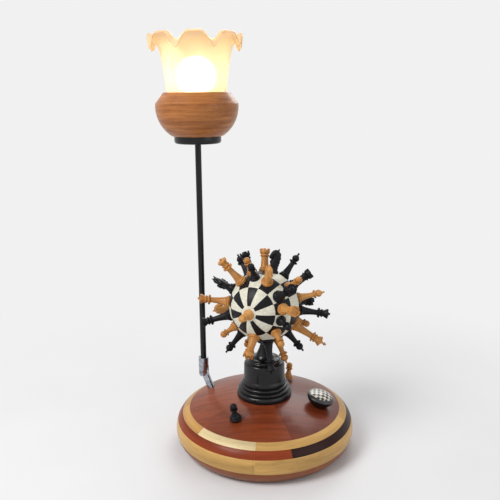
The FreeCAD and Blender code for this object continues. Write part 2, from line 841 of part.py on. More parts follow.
def plunger(place):
    """Steel plunger that carries a pawn."""
    return on_dome(rod(plunger_radius, plunger_low, plunger_top), *place)


def pawn_button(place):
    """Pawn that is pressed like a button, hollowed underneath to clear the nut."""
    body = moved(pawn(pawn_height, button_base), 0, 0, button_lift)
    cuts = [rod(button_hollow_radius, 0, button_lift + button_hollow_depth),
            rod(plunger_radius + glue_fit, 0, plunger_top + running_fit)]
    return on_dome(body.cut(cuts), *place)


# Arm and knuckle

def arm_stub():
    """Leaning tube through the dome, ending above in a flat rounded tongue."""
    body = tube(stub_radius, stub_bore, stub_shoulder, stub_length)
    tongue = Part.makeBox(2 * stub_radius, tongue_thickness, stub_shoulder + 1,
                          V(-stub_radius, -tongue_thickness / 2, 0))
    nose = Part.makeCylinder(stub_radius, tongue_thickness, V(0, -tongue_thickness / 2, 0), V(0, 1, 0))
    hole = Part.makeCylinder(pivot_radius + running_fit, 4 * stub_radius,
                             V(0, -2 * stub_radius, 0), V(0, 1, 0))
    wire_way = rod(stub_bore, stub_shoulder, stub_length + 1)
    return on_arm(on_stub(body.fuse([tongue, nose]).removeSplitter().cut([hole, wire_way])))


def arm_block():
    """Block glued under the dome that gives the stub's nut a square seat."""
    block = tube(arm_block_radius, stub_radius + running_fit, stub_shoulder, arm_block_reach)
    return on_arm(on_stub(block)).common(rod(ring_bore - seat_gap, 0, thin_ring_top))


def arm_washer():
    """Washer between the block and the nut."""
    low = arm_block_reach
    washer = tube(arm_block_radius, stub_radius + running_fit, low, low + arm_washer_thickness)
    return on_arm(on_stub(washer))


def arm_nut():
    """Nut that pulls the stub down."""
    low = arm_block_reach + arm_washer_thickness
    return on_arm(on_stub(hex_nut(arm_nut_radius, stub_radius + running_fit, low, low + arm_nut_thickness)))


pivot_head_low = ferrule_radius - pivot_head_thickness


def knuckle_ferrule():
    """Ferrule with a forked foot, rounded so that it swings past the stub's shoulder."""
    body = rod(ferrule_radius, -ferrule_radius, ferrule_top - pivot_height)
    rounding = Part.makeCylinder(ferrule_radius, 4 * ferrule_radius,
                                 V(0, -2 * ferrule_radius, 0), V(0, 1, 0))
    upper = rod(2 * ferrule_radius, 0, ferrule_top)
    slot_width = tongue_thickness + 2 * tongue_clearance
    slot = Part.makeBox(4 * ferrule_radius, slot_width, 2 * ferrule_radius + slot_reach,
                        V(-2 * ferrule_radius, -slot_width / 2, -2 * ferrule_radius))
    pivot = Part.makeCylinder(pivot_radius, 4 * ferrule_radius, V(0, -2 * ferrule_radius, 0), V(0, 1, 0))
    head = Part.makeCylinder(pivot_head_radius + running_fit, ferrule_radius,
                             V(0, pivot_head_low, 0), V(0, 1, 0))
    seat = rod(rod_radius + glue_fit, rod_seat, ferrule_top)
    way = rod(stub_bore, 0, ferrule_top)
    shape = body.common(rounding.fuse(upper)).cut([slot, pivot, head, seat, way])
    return on_arm(moved(shape, rod_circle, 0, pivot_height))


def knuckle_screw():
    """Pivot screw across the knuckle, slotted for a driver."""
    shank = Part.makeCylinder(pivot_radius, pivot_head_low + ferrule_radius - 0.5,
                              V(0, -ferrule_radius + 0.5, 0), V(0, 1, 0))
    head = Part.makeCylinder(pivot_head_radius, pivot_head_thickness, V(0, pivot_head_low, 0), V(0, 1, 0))
    groove = Part.makeBox(3 * pivot_head_radius, 1, 0.8,
                          V(-1.5 * pivot_head_radius, pivot_head_low + pivot_head_thickness - 0.7, -0.4))
    return on_arm(moved(shank.fuse(head).cut(groove).removeSplitter(), rod_circle, 0, pivot_height))


def arm_rod():
    """Upright tube that carries the lamp head and its wires."""
    return on_rod(tube(rod_radius, rod_bore, pivot_height + rod_seat + seat_gap, rod_top))


# Lamp head

def head_plate():
    """Black round plate under the wooden cup."""
    round_middle = plate_round * (1 - math.cos(math.radians(45)))
    return on_rod(turned(
        (rod_radius + glue_fit, plate_bottom), (plate_radius - plate_round, plate_bottom),
        ((plate_radius - round_middle, plate_bottom + round_middle),
         (plate_radius, plate_bottom + plate_round)),
        (plate_radius, cup_bottom), (rod_radius + glue_fit, cup_bottom)))


def wood_cup():
    """Turned cup with a rounded bowl, a bevelled shoulder and a ledge for the shade."""
    widest = cup_bottom + cup_bowl_height
    floor = cup_bottom + cup_floor
    return on_rod(turned(
        (rod_radius + running_fit, cup_bottom), (cup_bottom_radius, cup_bottom),
        ((cup_belly_radius, cup_bottom + cup_bowl_height / 3), (cup_widest_radius, widest)),
        (cup_rim_radius, cup_top), (cup_mouth, cup_top), (cup_mouth, ledge), (cup_bore, ledge),
        (cup_bore, cup_top - cup_bore_depth), (cup_floor_radius, floor), (rod_radius + running_fit, floor)))


def head_nut():
    """Nut inside the cup that clamps the cup and the plate on the rod."""
    low = cup_bottom + cup_floor
    return on_rod(hex_nut(head_nut_radius, rod_radius + running_fit, low, low + head_nut_thickness))


def holder_cap():
    """Base of the lampholder, screwed on the end of the rod."""
    return on_rod(turned(
        (rod_radius + glue_fit, holder_bottom), (holder_neck_radius, holder_bottom),
        (holder_radius, shell_bottom - 5), (holder_radius, shell_bottom),
        (holder_radius - holder_wall, shell_bottom), (holder_radius - holder_wall, shell_bottom - 3),
        (rod_radius + glue_fit, shell_bottom - 3)))


def holder_shell():
    """Outer sleeve of the lampholder."""
    top = shell_bottom + holder_shell_height
    return on_rod(tube(holder_radius, holder_radius - holder_wall, shell_bottom, top))


insert_bottom = shell_bottom - 3 + glue_fit
insert_top = insert_bottom + insert_height
sleeve_top = insert_top + sleeve_height
lamp_cap_bottom = insert_top + lamp_contact_height + glue_fit


def holder_insert():
    """Ceramic insert that carries the contacts."""
    return on_rod(rod(holder_radius - holder_wall - running_fit, insert_bottom, insert_top))


def holder_sleeve():
    """Screw shell of the lampholder."""
    return on_rod(tube(sleeve_radius, sleeve_radius - sleeve_wall, insert_top, sleeve_top))


lamp_cap_top = lamp_cap_bottom + lamp_cap_height


def bulb_cap():
    """Metal cap of the bulb with its centre contact."""
    low = lamp_cap_bottom
    return on_rod(turned((0, low - lamp_contact_height), (lamp_contact_radius, low - lamp_contact_height),
                         (lamp_cap_radius, low), (lamp_cap_radius, lamp_cap_top), (0, lamp_cap_top)))


def bulb_glass():
    """Pear-shaped bulb, hollow."""
    centre = bulb_top - bulb_radius
    angles = (-34, -12, 10, 32, 54, 74)
    outer = head_points(bulb_radius, centre, angles)
    inner = head_points(bulb_radius - bulb_wall, centre, (-34, -2, 30, 62))
    neck = lamp_cap_radius
    body = turned((0, lamp_cap_top), (neck, lamp_cap_top), *outer, (0, bulb_top))
    hollow = turned((0, lamp_cap_top + bulb_wall), (neck - bulb_wall, lamp_cap_top + bulb_wall),
                    *inner, (0, bulb_top - bulb_wall))
    return on_rod(body.cut(hollow))


def shade_meridian(azimuth):
    """Outer line of the shade at an azimuth: the lip blends from dip to broad lobe with a cosine."""
    wave = 0.5 + 0.5 * math.cos(math.radians(shade_lobes * (azimuth - front_lobe_azimuth)))
    weight = 1 - (1 - wave) ** lobe_breadth
    lip = [(d[0] + weight * (p[0] - d[0]), d[1] + weight * (p[1] - d[1]))
           for p, d in zip(SHADE_LOBE, SHADE_DIP)]
    return list(SHADE_BODY) + lip


def inward(line, distance):
    """Meridian moved inwards by a distance, square to itself."""
    result = []
    for k, (radius, height) in enumerate(line):
        before = line[max(k - 1, 0)]
        after = line[min(k + 1, len(line) - 1)]
        run = after[0] - before[0]
        climb = after[1] - before[1]
        length = math.hypot(run, climb)
        result.append((radius - distance * climb / length, height + distance * run / length))
    result[0] = (result[0][0], line[0][1])
    return result


def glass_shade():
    """Ruffled tulip shade: rings round outside, over the lip and back down inside."""
    count = shade_lobes * points_per_lobe
    lines = []
    for k in range(count):
        azimuth = front_lobe_azimuth + 360.0 * k / count
        outside = shade_meridian(azimuth)
        inside = inward(outside, shade_wall)
        turn = math.radians(azimuth - arm_azimuth)
        lines.append([V(r * math.cos(turn), r * math.sin(turn), shade_foot + z)
                      for r, z in outside + inside[::-1]])
    rings = [Part.makePolygon([line[j] for line in lines] + [lines[0][j]]) for j in range(len(lines[0]))]
    bands = [Part.makeRuledSurface(low, high) for low, high in zip(rings, rings[1:] + rings[:1])]
    skin = Part.makeShell([face for band in bands for face in band.Faces])
    skin.sewShape()
    return on_rod(Part.makeSolid(Part.makeShell(skin.Faces)))


NODES = {
    "felt_pad": felt_pad(),
    "base_cover_plate": base_cover_plate(),
    "cover_screws": Part.makeCompound(cover_screws()),
    "base_bottom_ring": base_bottom_ring(),
    "maple_ring_wide": maple_ring_wide(),
    "red_ring": laminate(wide_ring_top, red_ring_top),
    "maple_ring_thin": laminate(red_ring_top, thin_ring_top),
    "base_dome": base_dome(),
    "cord_gland": cord_gland(),
    "cord_gland_nut": cord_gland_nut(),
    "pedestal_body": pedestal_body(),
    "pedestal_screws": Part.makeCompound(pedestal_screws()),
    "motor_foot": motor_foot(),
    "motor_screws": Part.makeCompound(motor_screws()),
    "motor_can": rod(motor_radius, motor_bottom, gearbox_bottom),
    "gearbox": gearbox(),
    "output_shaft": rod(output_shaft_radius, gearbox_top - shaft_engagement + seat_gap, output_shaft_top),
    "coupler": coupler(),
    "coupler_grub_screws": Part.makeCompound(grub_holes()),
    "spindle": rod(spindle_radius, spindle_bottom, spindle_top),
    "spindle_bush": tube(bush_radius, spindle_radius + running_fit, bush_bottom, pedestal_top),
    "thrust_washer": tube(washer_radius, spindle_radius + 2 * running_fit, pedestal_top,
                          pedestal_top + washer_thickness),
    "ball_hub": ball_hub(),
    "ball": ball(),
    "light_kings": army(king, LIGHT_KINGS),
    "light_queens": army(queen, LIGHT_QUEENS),
    "light_bishops": army(bishop, LIGHT_BISHOPS),
    "light_knights": army(knight, LIGHT_KNIGHTS),
    "light_rooks": army(rook, LIGHT_ROOKS),
    "light_pawns": army(pawn, LIGHT_PAWNS),
    "dark_kings": army(king, DARK_KINGS),
    "dark_queens": army(queen, DARK_QUEENS),
    "dark_bishops": army(bishop, DARK_BISHOPS),
    "dark_knights": army(knight, DARK_KNIGHTS),
    "dark_rooks": army(rook, DARK_ROOKS),
    "dark_pawns": army(pawn, DARK_PAWNS),
    "dimmer_case": dimmer_case(),
    "dimmer_nut": dimmer_nut(),
    "dimmer_shaft": dimmer_shaft(),
    "knob_skirt": knob_skirt(),
    "knob_cap": knob_cap(),
    "lamp_switch": switch_case(LAMP_BUTTON),
    "motor_switch": switch_case(MOTOR_BUTTON),
    "switch_nuts": switch_nuts(),
    "lamp_plunger": plunger(LAMP_BUTTON),
    "motor_plunger": plunger(MOTOR_BUTTON),
    "dark_pawn_button": pawn_button(LAMP_BUTTON),
    "light_pawn_button": pawn_button(MOTOR_BUTTON),
    "arm_stub": arm_stub(),
    "arm_block": arm_block(),
    "arm_washer_and_nut": Part.makeCompound([arm_washer(), arm_nut()]),
    "knuckle_ferrule": knuckle_ferrule(),
    "knuckle_screw": knuckle_screw(),
    "arm_rod": arm_rod(),
    "head_plate": head_plate(),
    "wood_cup": wood_cup(),
    "lampholder": Part.makeCompound([head_nut(), holder_cap(), holder_shell(), holder_insert(),
                                     holder_sleeve()]),
    "bulb_cap": bulb_cap(),
    "bulb_glass": bulb_glass(),
    "glass_shade": glass_shade(),
}

os.makedirs("parts", exist_ok=True)
for name, shape in NODES.items():
    shape.exportStep(f"parts/{name}.step")
    print(f"{name}: {len(shape.Solids)} solids, {shape.Volume / 1000:.2f} cm3, valid {shape.isValid()}")
print(f"{len(NODES)} nodes")
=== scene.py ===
# %% [markdown]
# A turning chess lamp, dressed around its frame of solids
#
# The lamp is a wood turner's piece: a laminated round base, a black pedestal with a slow
# motor inside, a chequered ball stuck full of chess pieces, and a tall arm with a lamp head.
# The frame gives every rigid solid at its real size. The pieces below replace the solids that
# show, because a render needs finer curves, rounded arrises and grain that a plain solid lacks.

import math

import bmesh
import bpy
import numpy as np
from mathutils import Matrix, Vector


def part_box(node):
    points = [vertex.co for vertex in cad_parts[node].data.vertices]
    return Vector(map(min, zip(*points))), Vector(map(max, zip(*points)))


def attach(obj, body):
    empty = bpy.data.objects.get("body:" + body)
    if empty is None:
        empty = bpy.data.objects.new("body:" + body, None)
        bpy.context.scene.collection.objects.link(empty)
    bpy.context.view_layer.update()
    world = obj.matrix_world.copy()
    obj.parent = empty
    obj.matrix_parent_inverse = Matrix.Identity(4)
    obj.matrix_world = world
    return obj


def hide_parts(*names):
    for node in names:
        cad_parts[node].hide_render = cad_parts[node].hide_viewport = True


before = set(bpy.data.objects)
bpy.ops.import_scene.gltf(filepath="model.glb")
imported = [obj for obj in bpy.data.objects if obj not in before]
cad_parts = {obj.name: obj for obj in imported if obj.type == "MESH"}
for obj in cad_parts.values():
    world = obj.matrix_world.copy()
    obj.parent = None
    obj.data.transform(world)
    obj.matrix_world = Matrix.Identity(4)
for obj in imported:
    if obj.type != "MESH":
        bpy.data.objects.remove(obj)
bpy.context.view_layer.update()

# %% [markdown]
# Where things are
#
# Everything on the lamp is turned round one of a few axes: the pedestal's, the arm rod's and
# the dome's own normal at each control. Most places are read from the boxes of the frame's
# nodes, so that the new pieces stay where the frame has them; the few that a box can't tell,
# such as the middle of the ball and the top of the dome, are typed. Lengths are in millimetres
# here and become metres only when a mesh is made.

# %% Read the main places from the frame
MM = 0.001


def span(node):
    """Lowest and highest corner of a frame node, in millimetres."""
    low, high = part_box(node)
    return np.array(low) / MM, np.array(high) / MM


def middle_of(node):
    """Middle of a frame node's box, in millimetres."""
    low, high = span(node)
    return (low + high) / 2


rod_axis = middle_of("arm_rod")
ball_middle = np.array([0.0, 0.0, 225.0])
ball_radius = 53.7
base_radius = span("maple_ring_wide")[1][0]
edge_radius = 33.0
edge_height = 29.5
dome_foot = span("maple_ring_thin")[1][2]
dome_edge = span("base_dome")[1][0]
dome_top = 81.7
dome_rise = dome_top - dome_foot
dome_sphere = (dome_edge ** 2 + dome_rise ** 2) / (2 * dome_rise)
print("base radius", round(float(base_radius), 1), "rod axis", rod_axis.round(2))
print("radius of the dome's sphere", round(float(dome_sphere), 1))

# %% [markdown]
# Profiles
#
# A turned piece is a profile carried round an axis. It could be a drawn curve under a Screw
# modifier, but here it is a short list of (radius, height) points, which a maker can read like
# a drawing. Corners are eased by a small curve, as a turner's tool leaves them, and round
# stretches are arcs or sagged lines, so that no outline has more points than it needs.

# %% Rounded profiles
def eased(points, ease=0.4, steps=4):
    """Polyline with each inner corner replaced by a parabola that leaves both sides tangentially."""
    points = np.asarray(points, float)
    out = [points[:1]]
    t = np.linspace(0, 1, steps + 1)[:, None]
    for before, corner, after in zip(points, points[1:], points[2:]):
        back, ahead = before - corner, after - corner
        reach_back = min(ease, 0.45 * np.hypot(*back)) / max(np.hypot(*back), 1e-9)
        reach_ahead = min(ease, 0.45 * np.hypot(*ahead)) / max(np.hypot(*ahead), 1e-9)
        a, b = corner + back * reach_back, corner + ahead * reach_ahead
        out.append((1 - t) ** 2 * a + 2 * t * (1 - t) * corner + t ** 2 * b)
    out.append(points[-1:])
    return np.concatenate(out)


def arc(centre, radius, start, end, steps=8):
    """Points of a circle's arc between two angles in degrees, as (radius, height) pairs."""
    a = np.radians(np.linspace(start, end, steps + 1))
    return np.stack([centre[0] + radius * np.cos(a), centre[1] + radius * np.sin(a)], -1)


def sagged(start, end, bulge, steps=8):
    """Line from start to end that swings sideways by a sine, so a cone becomes an ogee or a cove."""
    start, end = np.asarray(start, float), np.asarray(end, float)
    t = np.linspace(0, 1, steps + 1)[:, None]
    along = end - start
    side = np.array([along[1], -along[0]]) / np.hypot(*along)
    return start + t * along + np.sin(np.pi * t) * bulge * side


def joined(*runs):
    """Several runs of profile points as one."""
    return np.concatenate([np.asarray(run, float).reshape(-1, 2) for run in runs])


print("a right angle, eased, has", len(eased([(0, 0), (1, 0), (1, 1)])), "points")

# %% [markdown]
# Skins
#
# A skin is a grid of points, with rows along the piece and columns round it, and a short list
# of quads that joins neighbours. A hollow piece ends where it began, so its rows close into a
# loop; any other skin gets a fan of triangles at each end. One pair of functions then serves
# smooth lathes, notched rims, a carved head and crimped glass alike.

# %% Grids that become skins
def grid_faces(rows, columns, loop=False):
    """Quads between neighbours of a grid whose columns close into rings, and whose rows may close too."""
    i, j = np.meshgrid(np.arange(rows if loop else rows - 1), np.arange(columns), indexing="ij")
    k, n = (j + 1) % columns, (i + 1) % rows
    quads = np.stack([i * columns + j, i * columns + k, n * columns + k, n * columns + j], -1)
    return quads.reshape(-1, 4)


def closed_skin(grid, loop=False):
    """Grid of rings as a closed skin: (points, quads, triangles). An open end gets a fan to its middle."""
    rows, columns = grid.shape[:2]
    points = grid.reshape(-1, 3)
    quads = grid_faces(rows, columns, loop)
    if loop:
        return points, quads, np.zeros((0, 3), int)
    j = np.arange(columns)
    k = (j + 1) % columns
    low, high = len(points), len(points) + 1
    last = (rows - 1) * columns
    fans = np.concatenate([np.stack([k, j, np.full(columns, low)], -1),
                           np.stack([last + j, last + k, np.full(columns, high)], -1)])
    points = np.concatenate([points, grid[0].mean(0)[None], grid[-1].mean(0)[None]])
    return points, quads, fans


print("a grid of 3 rings of 8 points has", len(grid_faces(3, 8)), "quads")

# %% [markdown]
# Lathe
#
# The lathe turns a profile to every angle at once: it multiplies one row of radii by the
# cosines and sines of all the angles. A modifier could do that too, but not bend the profile
# by its angle on the way, which is how the rook gets its notches and the queen her crown.

# %% Lathe
def lathe(profile, columns=96, angles=None, wobble=None):
    """Surface of revolution: each (radius, height) of the profile turned to every angle.
    A wobble function may change radius and height by angle and row."""
    profile = np.asarray(profile, float)
    hollow = profile[0, 0] > 1e-6 and profile[-1, 0] > 1e-6 and np.allclose(profile[0], profile[-1])
    if hollow:
        profile = profile[:-1]
    else:
        profile = profile[profile[:, 0] > 1e-6]
    a = np.linspace(0, 2 * np.pi, columns, endpoint=False) if angles is None else np.asarray(angles)
    r = np.repeat(profile[:, :1], len(a), 1)
    z = np.repeat(profile[:, 1:], len(a), 1)
    if wobble is not None:
        r, z = wobble(r, z, a[None, :])
    return closed_skin(np.stack([r * np.cos(a), r * np.sin(a), z], -1), loop=hollow)


print("lathe of a unit cone has", len(lathe([(0, 0), (1, 0), (0, 1)], 12)[0]), "points")

# %% [markdown]
# Placing a part
#
# A part is made upright at the origin and carried to its place by a matrix of 4 by 4 numbers.
# Moves and turns are multiplied from the last to the first, so a place on the ball reads as:
# spin the part, lift it by the ball's radius, lean it, swing it round, and go to the middle.

# %% Matrices
def turn(degrees, axis):
    """Rotation about an axis, as a 4 by 4 array."""
    return np.array(Matrix.Rotation(math.radians(degrees), 4, axis))


def shift(x=0.0, y=0.0, z=0.0):
    """Translation, as a 4 by 4 array."""
    return np.array(Matrix.Translation((x, y, z)))


def carried(matrix, points):
    """Points taken through a 4 by 4 matrix."""
    return points @ matrix[:3, :3].T + matrix[:3, 3]


def on_ball(azimuth, latitude, spin=0.0):
    """Place on the ball: upright on its surface, leaning out from the middle."""
    return (shift(*ball_middle) @ turn(azimuth, "Z") @ turn(90 - latitude, "Y")
            @ shift(z=ball_radius) @ turn(spin, "Z"))


def on_dome(azimuth, circle):
    """Place on the dome, square to it."""
    tilt = math.degrees(math.asin(circle / dome_sphere))
    height = dome_top - dome_sphere + math.sqrt(dome_sphere ** 2 - circle ** 2)
    return turn(azimuth, "Z") @ shift(circle, 0, height) @ turn(tilt, "Y")


STILL = np.eye(4)
ALONG_ROD = shift(rod_axis[0], rod_axis[1])
print("north of the ball:", carried(on_ball(0.0, 90.0), np.zeros((1, 3))).round(1))

# %% [markdown]
# From skins to a piece
#
# A piece is one mesh object made of one part or of several alike. The matrix is worked into the
# points, so each object stays at the origin as the frame's nodes do. Each point also keeps, in
# an attribute, where it was on its own part, so that wood grain follows the part and not the
# room. A fixed step sets the parts of one piece apart in the grain, so no two chess pieces show
# the same streaks, and a second attribute gives each its own tone. Edges sharper than a set
# angle stay crisp, and the rest shade smooth. The piece then rides on a body of the frame and
# takes the place of the solid that it stands for.

# %% The piece maker
GRAIN_STEP = np.array([37.0, 53.0, 71.0])
GRAIN_SPAN = 400
TONE_STEP = 0.618


def piece(name, parts, body, finish, stands_for, crisp=38.0):
    """One mesh object from (matrix, skin) pairs, riding on a body and standing for frame nodes."""
    points, faces, own, tone = [], [], [], []
    count = 0
    for index, (matrix, skin) in enumerate(parts):
        local, quads, fans = skin
        points.append(carried(matrix, local))
        own.append(local + GRAIN_STEP * (index + 1) % GRAIN_SPAN)
        tone.append(np.full(len(local), (index * TONE_STEP) % 1.0))
        faces += (quads + count).tolist() + (fans + count).tolist()
        count += len(local)
    mesh = bpy.data.meshes.new(name)
    mesh.from_pydata((np.concatenate(points) * MM).tolist(), [], faces)
    mesh.validate()
    shell = bmesh.new()
    shell.from_mesh(mesh)
    bmesh.ops.recalc_face_normals(shell, faces=shell.faces)
    shell.to_mesh(mesh)
    shell.free()
    place = mesh.attributes.new("own_place", "FLOAT_VECTOR", "POINT")
    place.data.foreach_set("vector", (np.concatenate(own) * MM).astype(np.float32).ravel())
    shade = mesh.attributes.new("own_tone", "FLOAT", "POINT")
    shade.data.foreach_set("value", np.concatenate(tone).astype(np.float32))
    mesh.shade_smooth()
    mesh.set_sharp_from_angle(angle=math.radians(crisp))
    thing = bpy.data.objects.new(name, mesh)
    bpy.context.scene.collection.objects.link(thing)
    for one in finish if isinstance(finish, (list, tuple)) else [finish]:
        mesh.materials.append(one)
    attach(thing, body)
    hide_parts(*stands_for)
    print(f"{name}: {len(mesh.polygons)} faces on {body}")
    return thing


print("parts of one piece are", GRAIN_STEP, "mm apart in the grain")

# %% [markdown]
# Finishes
#
# Each finish is a small graph of shader nodes. Colours are typed as the eye sees them, from 0
# to 255, and changed to the linear values that a shader works in. Numbers that are the same all
# over a surface sit on the shader's own sockets, and only what varies is linked.

# %% Helpers for shader graphs
def linear(red, green, blue):
    """Colour as seen, 0 to 255, changed to the shader's linear scale."""
    seen = np.array([red, green, blue]) / 255
    low, high = seen / 12.92, ((seen + 0.055) / 1.055) ** 2.4
    return (*np.where(seen <= 0.04045, low, high), 1.0)


def add(tree, kind, inputs=None, **settings):
    """New node with its settings, its typed values and its links in one call."""
    node = tree.nodes.new(kind)
    for key, value in settings.items():
        setattr(node, key, value)
    for key, value in (inputs or {}).items():
        if isinstance(value, bpy.types.NodeSocket):
            tree.links.new(value, node.inputs[key])
        else:
            node.inputs[key].default_value = value
    return node


def new_finish(name, **sockets):
    """Material with its Principled shader set: sockets are given by name with spaces as underscores."""
    material = bpy.data.materials.new(name)
    material.use_nodes = True
    tree = material.node_tree
    shader = tree.nodes["Principled BSDF"]
    for key, value in sockets.items():
        shader.inputs[key.replace("_", " ")].default_value = value
    return material, tree, shader


print("black seen as 30 is", round(linear(30, 30, 30)[0], 4), "in linear light")

# %% [markdown]
# The finishes share a handful of steps: a ramp between colours, arithmetic, a mix, and a bump
# from a height. Two sources of coordinates feed them. One is the object's own place, which is
# the lamp's, for what runs on from piece to piece; the other is the place that a point had on
# its part, for what has to follow a leaning chess piece or the tilted knob.

# %% Steps that finishes share
def ramp(tree, factor, *stops, interpolation="LINEAR"):
    """Colour ramp through (position, colour) stops."""
    node = add(tree, "ShaderNodeValToRGB", {"Fac": factor})
    node.color_ramp.interpolation = interpolation
    elements = node.color_ramp.elements
    while len(elements) < len(stops):
        elements.new(0.5)
    for element, (position, colour) in zip(elements, stops):
        element.position = position
        element.color = colour
    return node.outputs["Color"]


def maths(tree, operation, first, second=0.0, third=0.0, clamp=False):
    """One arithmetic node."""
    return add(tree, "ShaderNodeMath", {0: first, 1: second, 2: third}, operation=operation,
               use_clamp=clamp).outputs[0]


def mixed(tree, factor, first, second, blend="MIX"):
    """Mix of two colours."""
    node = tree.nodes.new("ShaderNodeMix")
    node.data_type = "RGBA"
    node.blend_type = blend
    for key, value in ((0, factor), (6, first), (7, second)):
        if isinstance(value, bpy.types.NodeSocket):
            tree.links.new(value, node.inputs[key])
        else:
            node.inputs[key].default_value = value
    return node.outputs[2]


def bumped(tree, shader, height, distance=0.0002, strength=0.5):
    """Bump from a height, in metres."""
    node = add(tree, "ShaderNodeBump", {"Height": height, "Distance": distance, "Strength": strength})
    tree.links.new(node.outputs["Normal"], shader.inputs["Normal"])


def object_place(tree):
    """Coordinates of the object, which is at the origin, so they are the lamp's own in metres."""
    return tree.nodes.new("ShaderNodeTexCoord").outputs["Object"]


def from_axis(tree, x, y):
    """Distance from the axis: the root of x squared plus y squared."""
    squares = maths(tree, "ADD", maths(tree, "MULTIPLY", x, x), maths(tree, "MULTIPLY", y, y))
    return maths(tree, "SQRT", squares)


def own_place(tree):
    """Coordinates that each point had on its own part before it was placed."""
    return add(tree, "ShaderNodeAttribute", attribute_name="own_place").outputs["Vector"]


print("white seen as 240 is", round(linear(240, 240, 240)[0], 4), "in linear light")

# %% [markdown]
# Wood
#
# Wood reads as wood through three scales at once: streaks a few millimetres wide, fine fibres,
# and short dark pores. All of them are noise that is stretched along the grain, and a slow
# sway keeps the streaks from running ruler-straight. A photograph of wood would fit one board
# only; noise has no edge and fits every turned shape. A lacquer coat gives the gloss, and the
# fibres show in the bump only faintly under it.

# %% Grain
PORE_SCALE, PORE_EDGE = 1900.0, 0.63


def grain_scale(along, stretch=14.0):
    """Mapping scale that stretches a pattern along one axis."""
    return tuple(1.0 / stretch if axis == along else 1.0 for axis in "XYZ")


def wood_colour(tree, place, along, pale, dark, streaks=70.0, figure=0.55, pores=0.35, sway=0.004):
    """Colour and height of wood at a place: streaks and fibres mixed by the figure, then pores let in."""
    wavy = add(tree, "ShaderNodeTexNoise", {"Vector": place, "Scale": 14.0, "Detail": 2.0})
    drift = add(tree, "ShaderNodeVectorMath", {0: wavy.outputs["Color"], 1: (sway, sway, sway)},
                operation="MULTIPLY")
    moved = add(tree, "ShaderNodeVectorMath", {0: place, 1: drift.outputs[0]}, operation="ADD")
    lengthened = add(tree, "ShaderNodeMapping", {"Vector": moved.outputs[0], "Scale": grain_scale(along)})
    path = lengthened.outputs[0]
    bands = add(tree, "ShaderNodeTexNoise",
                {"Vector": path, "Scale": streaks, "Detail": 3.0, "Roughness": 0.6})
    fibres = add(tree, "ShaderNodeTexNoise",
                 {"Vector": path, "Scale": streaks * 9, "Detail": 3.0, "Roughness": 0.7})
    fine = add(tree, "ShaderNodeMapping", {"Vector": moved.outputs[0], "Scale": grain_scale(along, 30.0)})
    pits = add(tree, "ShaderNodeTexNoise", {"Vector": fine.outputs[0], "Scale": PORE_SCALE, "Detail": 1.0})
    fibre_share = figure * 0.45
    blend = maths(tree, "ADD", maths(tree, "MULTIPLY", bands.outputs[0], 1 - fibre_share),
                  maths(tree, "MULTIPLY", fibres.outputs[0], fibre_share))
    between = tuple(0.5 * (a + b) for a, b in zip(pale, dark))
    colour = ramp(tree, blend, (0.36, dark), (0.5, between), (0.64, pale))
    pore = maths(tree, "MULTIPLY", maths(tree, "GREATER_THAN", pits.outputs[0], PORE_EDGE), pores)
    darker = tuple(0.35 * c for c in dark[:3]) + (1.0,)
    return mixed(tree, pore, colour, darker), maths(tree, "SUBTRACT", fibres.outputs[0], pore)


print("grain along X is stretched by", [round(1 / scale) for scale in grain_scale("X")])

# %% [markdown]
# Three lacquered woods cover the turned parts: honey boxwood and ebonised wood for the chess
# pieces, whose parts differ a little in tone, and black lacquer for the pedestal and the knob.

# %% Lacquered woods
def wood(name, pale, dark, along="Z", place=own_place, gloss=0.36, coat=0.1, shine=0.25, shade=0.0,
         layers=(1.0, 1.0, 1.0), **look):
    """Lacquered wood. With a shade above 0 each part of the piece is a little lighter or darker."""
    material, tree, shader = new_finish(name, Coat_Weight=coat, Coat_Roughness=0.14,
                                        Specular_IOR_Level=shine)
    laid = add(tree, "ShaderNodeMapping", {"Vector": place(tree), "Scale": layers})
    colour, height = wood_colour(tree, laid.outputs[0], along, pale, dark, **look)
    if shade:
        tone = add(tree, "ShaderNodeAttribute", attribute_name="own_tone").outputs["Fac"]
        colour = mixed(tree, maths(tree, "MULTIPLY", tone, shade), colour, dark)
    tree.links.new(colour, shader.inputs["Base Color"])
    tree.links.new(maths(tree, "MULTIPLY_ADD", height, -0.12, gloss + 0.06), shader.inputs["Roughness"])
    bumped(tree, shader, height, 0.00008, 0.35)
    return material


boxwood = wood("boxwood_lacquered", linear(216, 158, 88), linear(168, 106, 46), shade=0.35, figure=0.5,
               pores=0.12)
ebonised = wood("ebonised_chess_wood", linear(23, 23, 28), linear(11, 11, 15), shade=0.2, gloss=0.4, coat=0.0,
                shine=0.18, pores=0.25)
black_lacquer = wood("black_lacquered_wood", linear(20, 20, 22), linear(10, 10, 12), gloss=0.25, coat=0.06,
                     shine=0.3, pores=0.2, streaks=50.0)
print("a wood finish has", len(boxwood.node_tree.nodes), "nodes")

# %% [markdown]
# The rings of the base
#
# Each layer of the base is glued up from a few boards, end to end round the circle. The grain
# runs round the ring, so the pattern is read in polar coordinates: arc length, radius and
# height. The angle also picks the board, each with its own tone, and a fine dark line marks
# the glue joint between two boards. The domed disc is cut from level boards instead, so its
# grain runs straight, and only the board is picked by the angle.

# %% Finish of a ring of boards
RING_REACH = 0.13


def polar_place(tree):
    """Arc length at a nominal radius, radius and height, and the angle as a share of a turn."""
    parts = add(tree, "ShaderNodeSeparateXYZ", {0: object_place(tree)})
    x, y, z = parts.outputs
    angle = maths(tree, "ARCTAN2", y, x)
    radius = from_axis(tree, x, y)
    share = maths(tree, "MULTIPLY_ADD", angle, 1 / (2 * math.pi), 0.5)
    length = maths(tree, "MULTIPLY", angle, RING_REACH)
    place = add(tree, "ShaderNodeCombineXYZ", {0: length, 1: radius, 2: z})
    return place.outputs[0], share


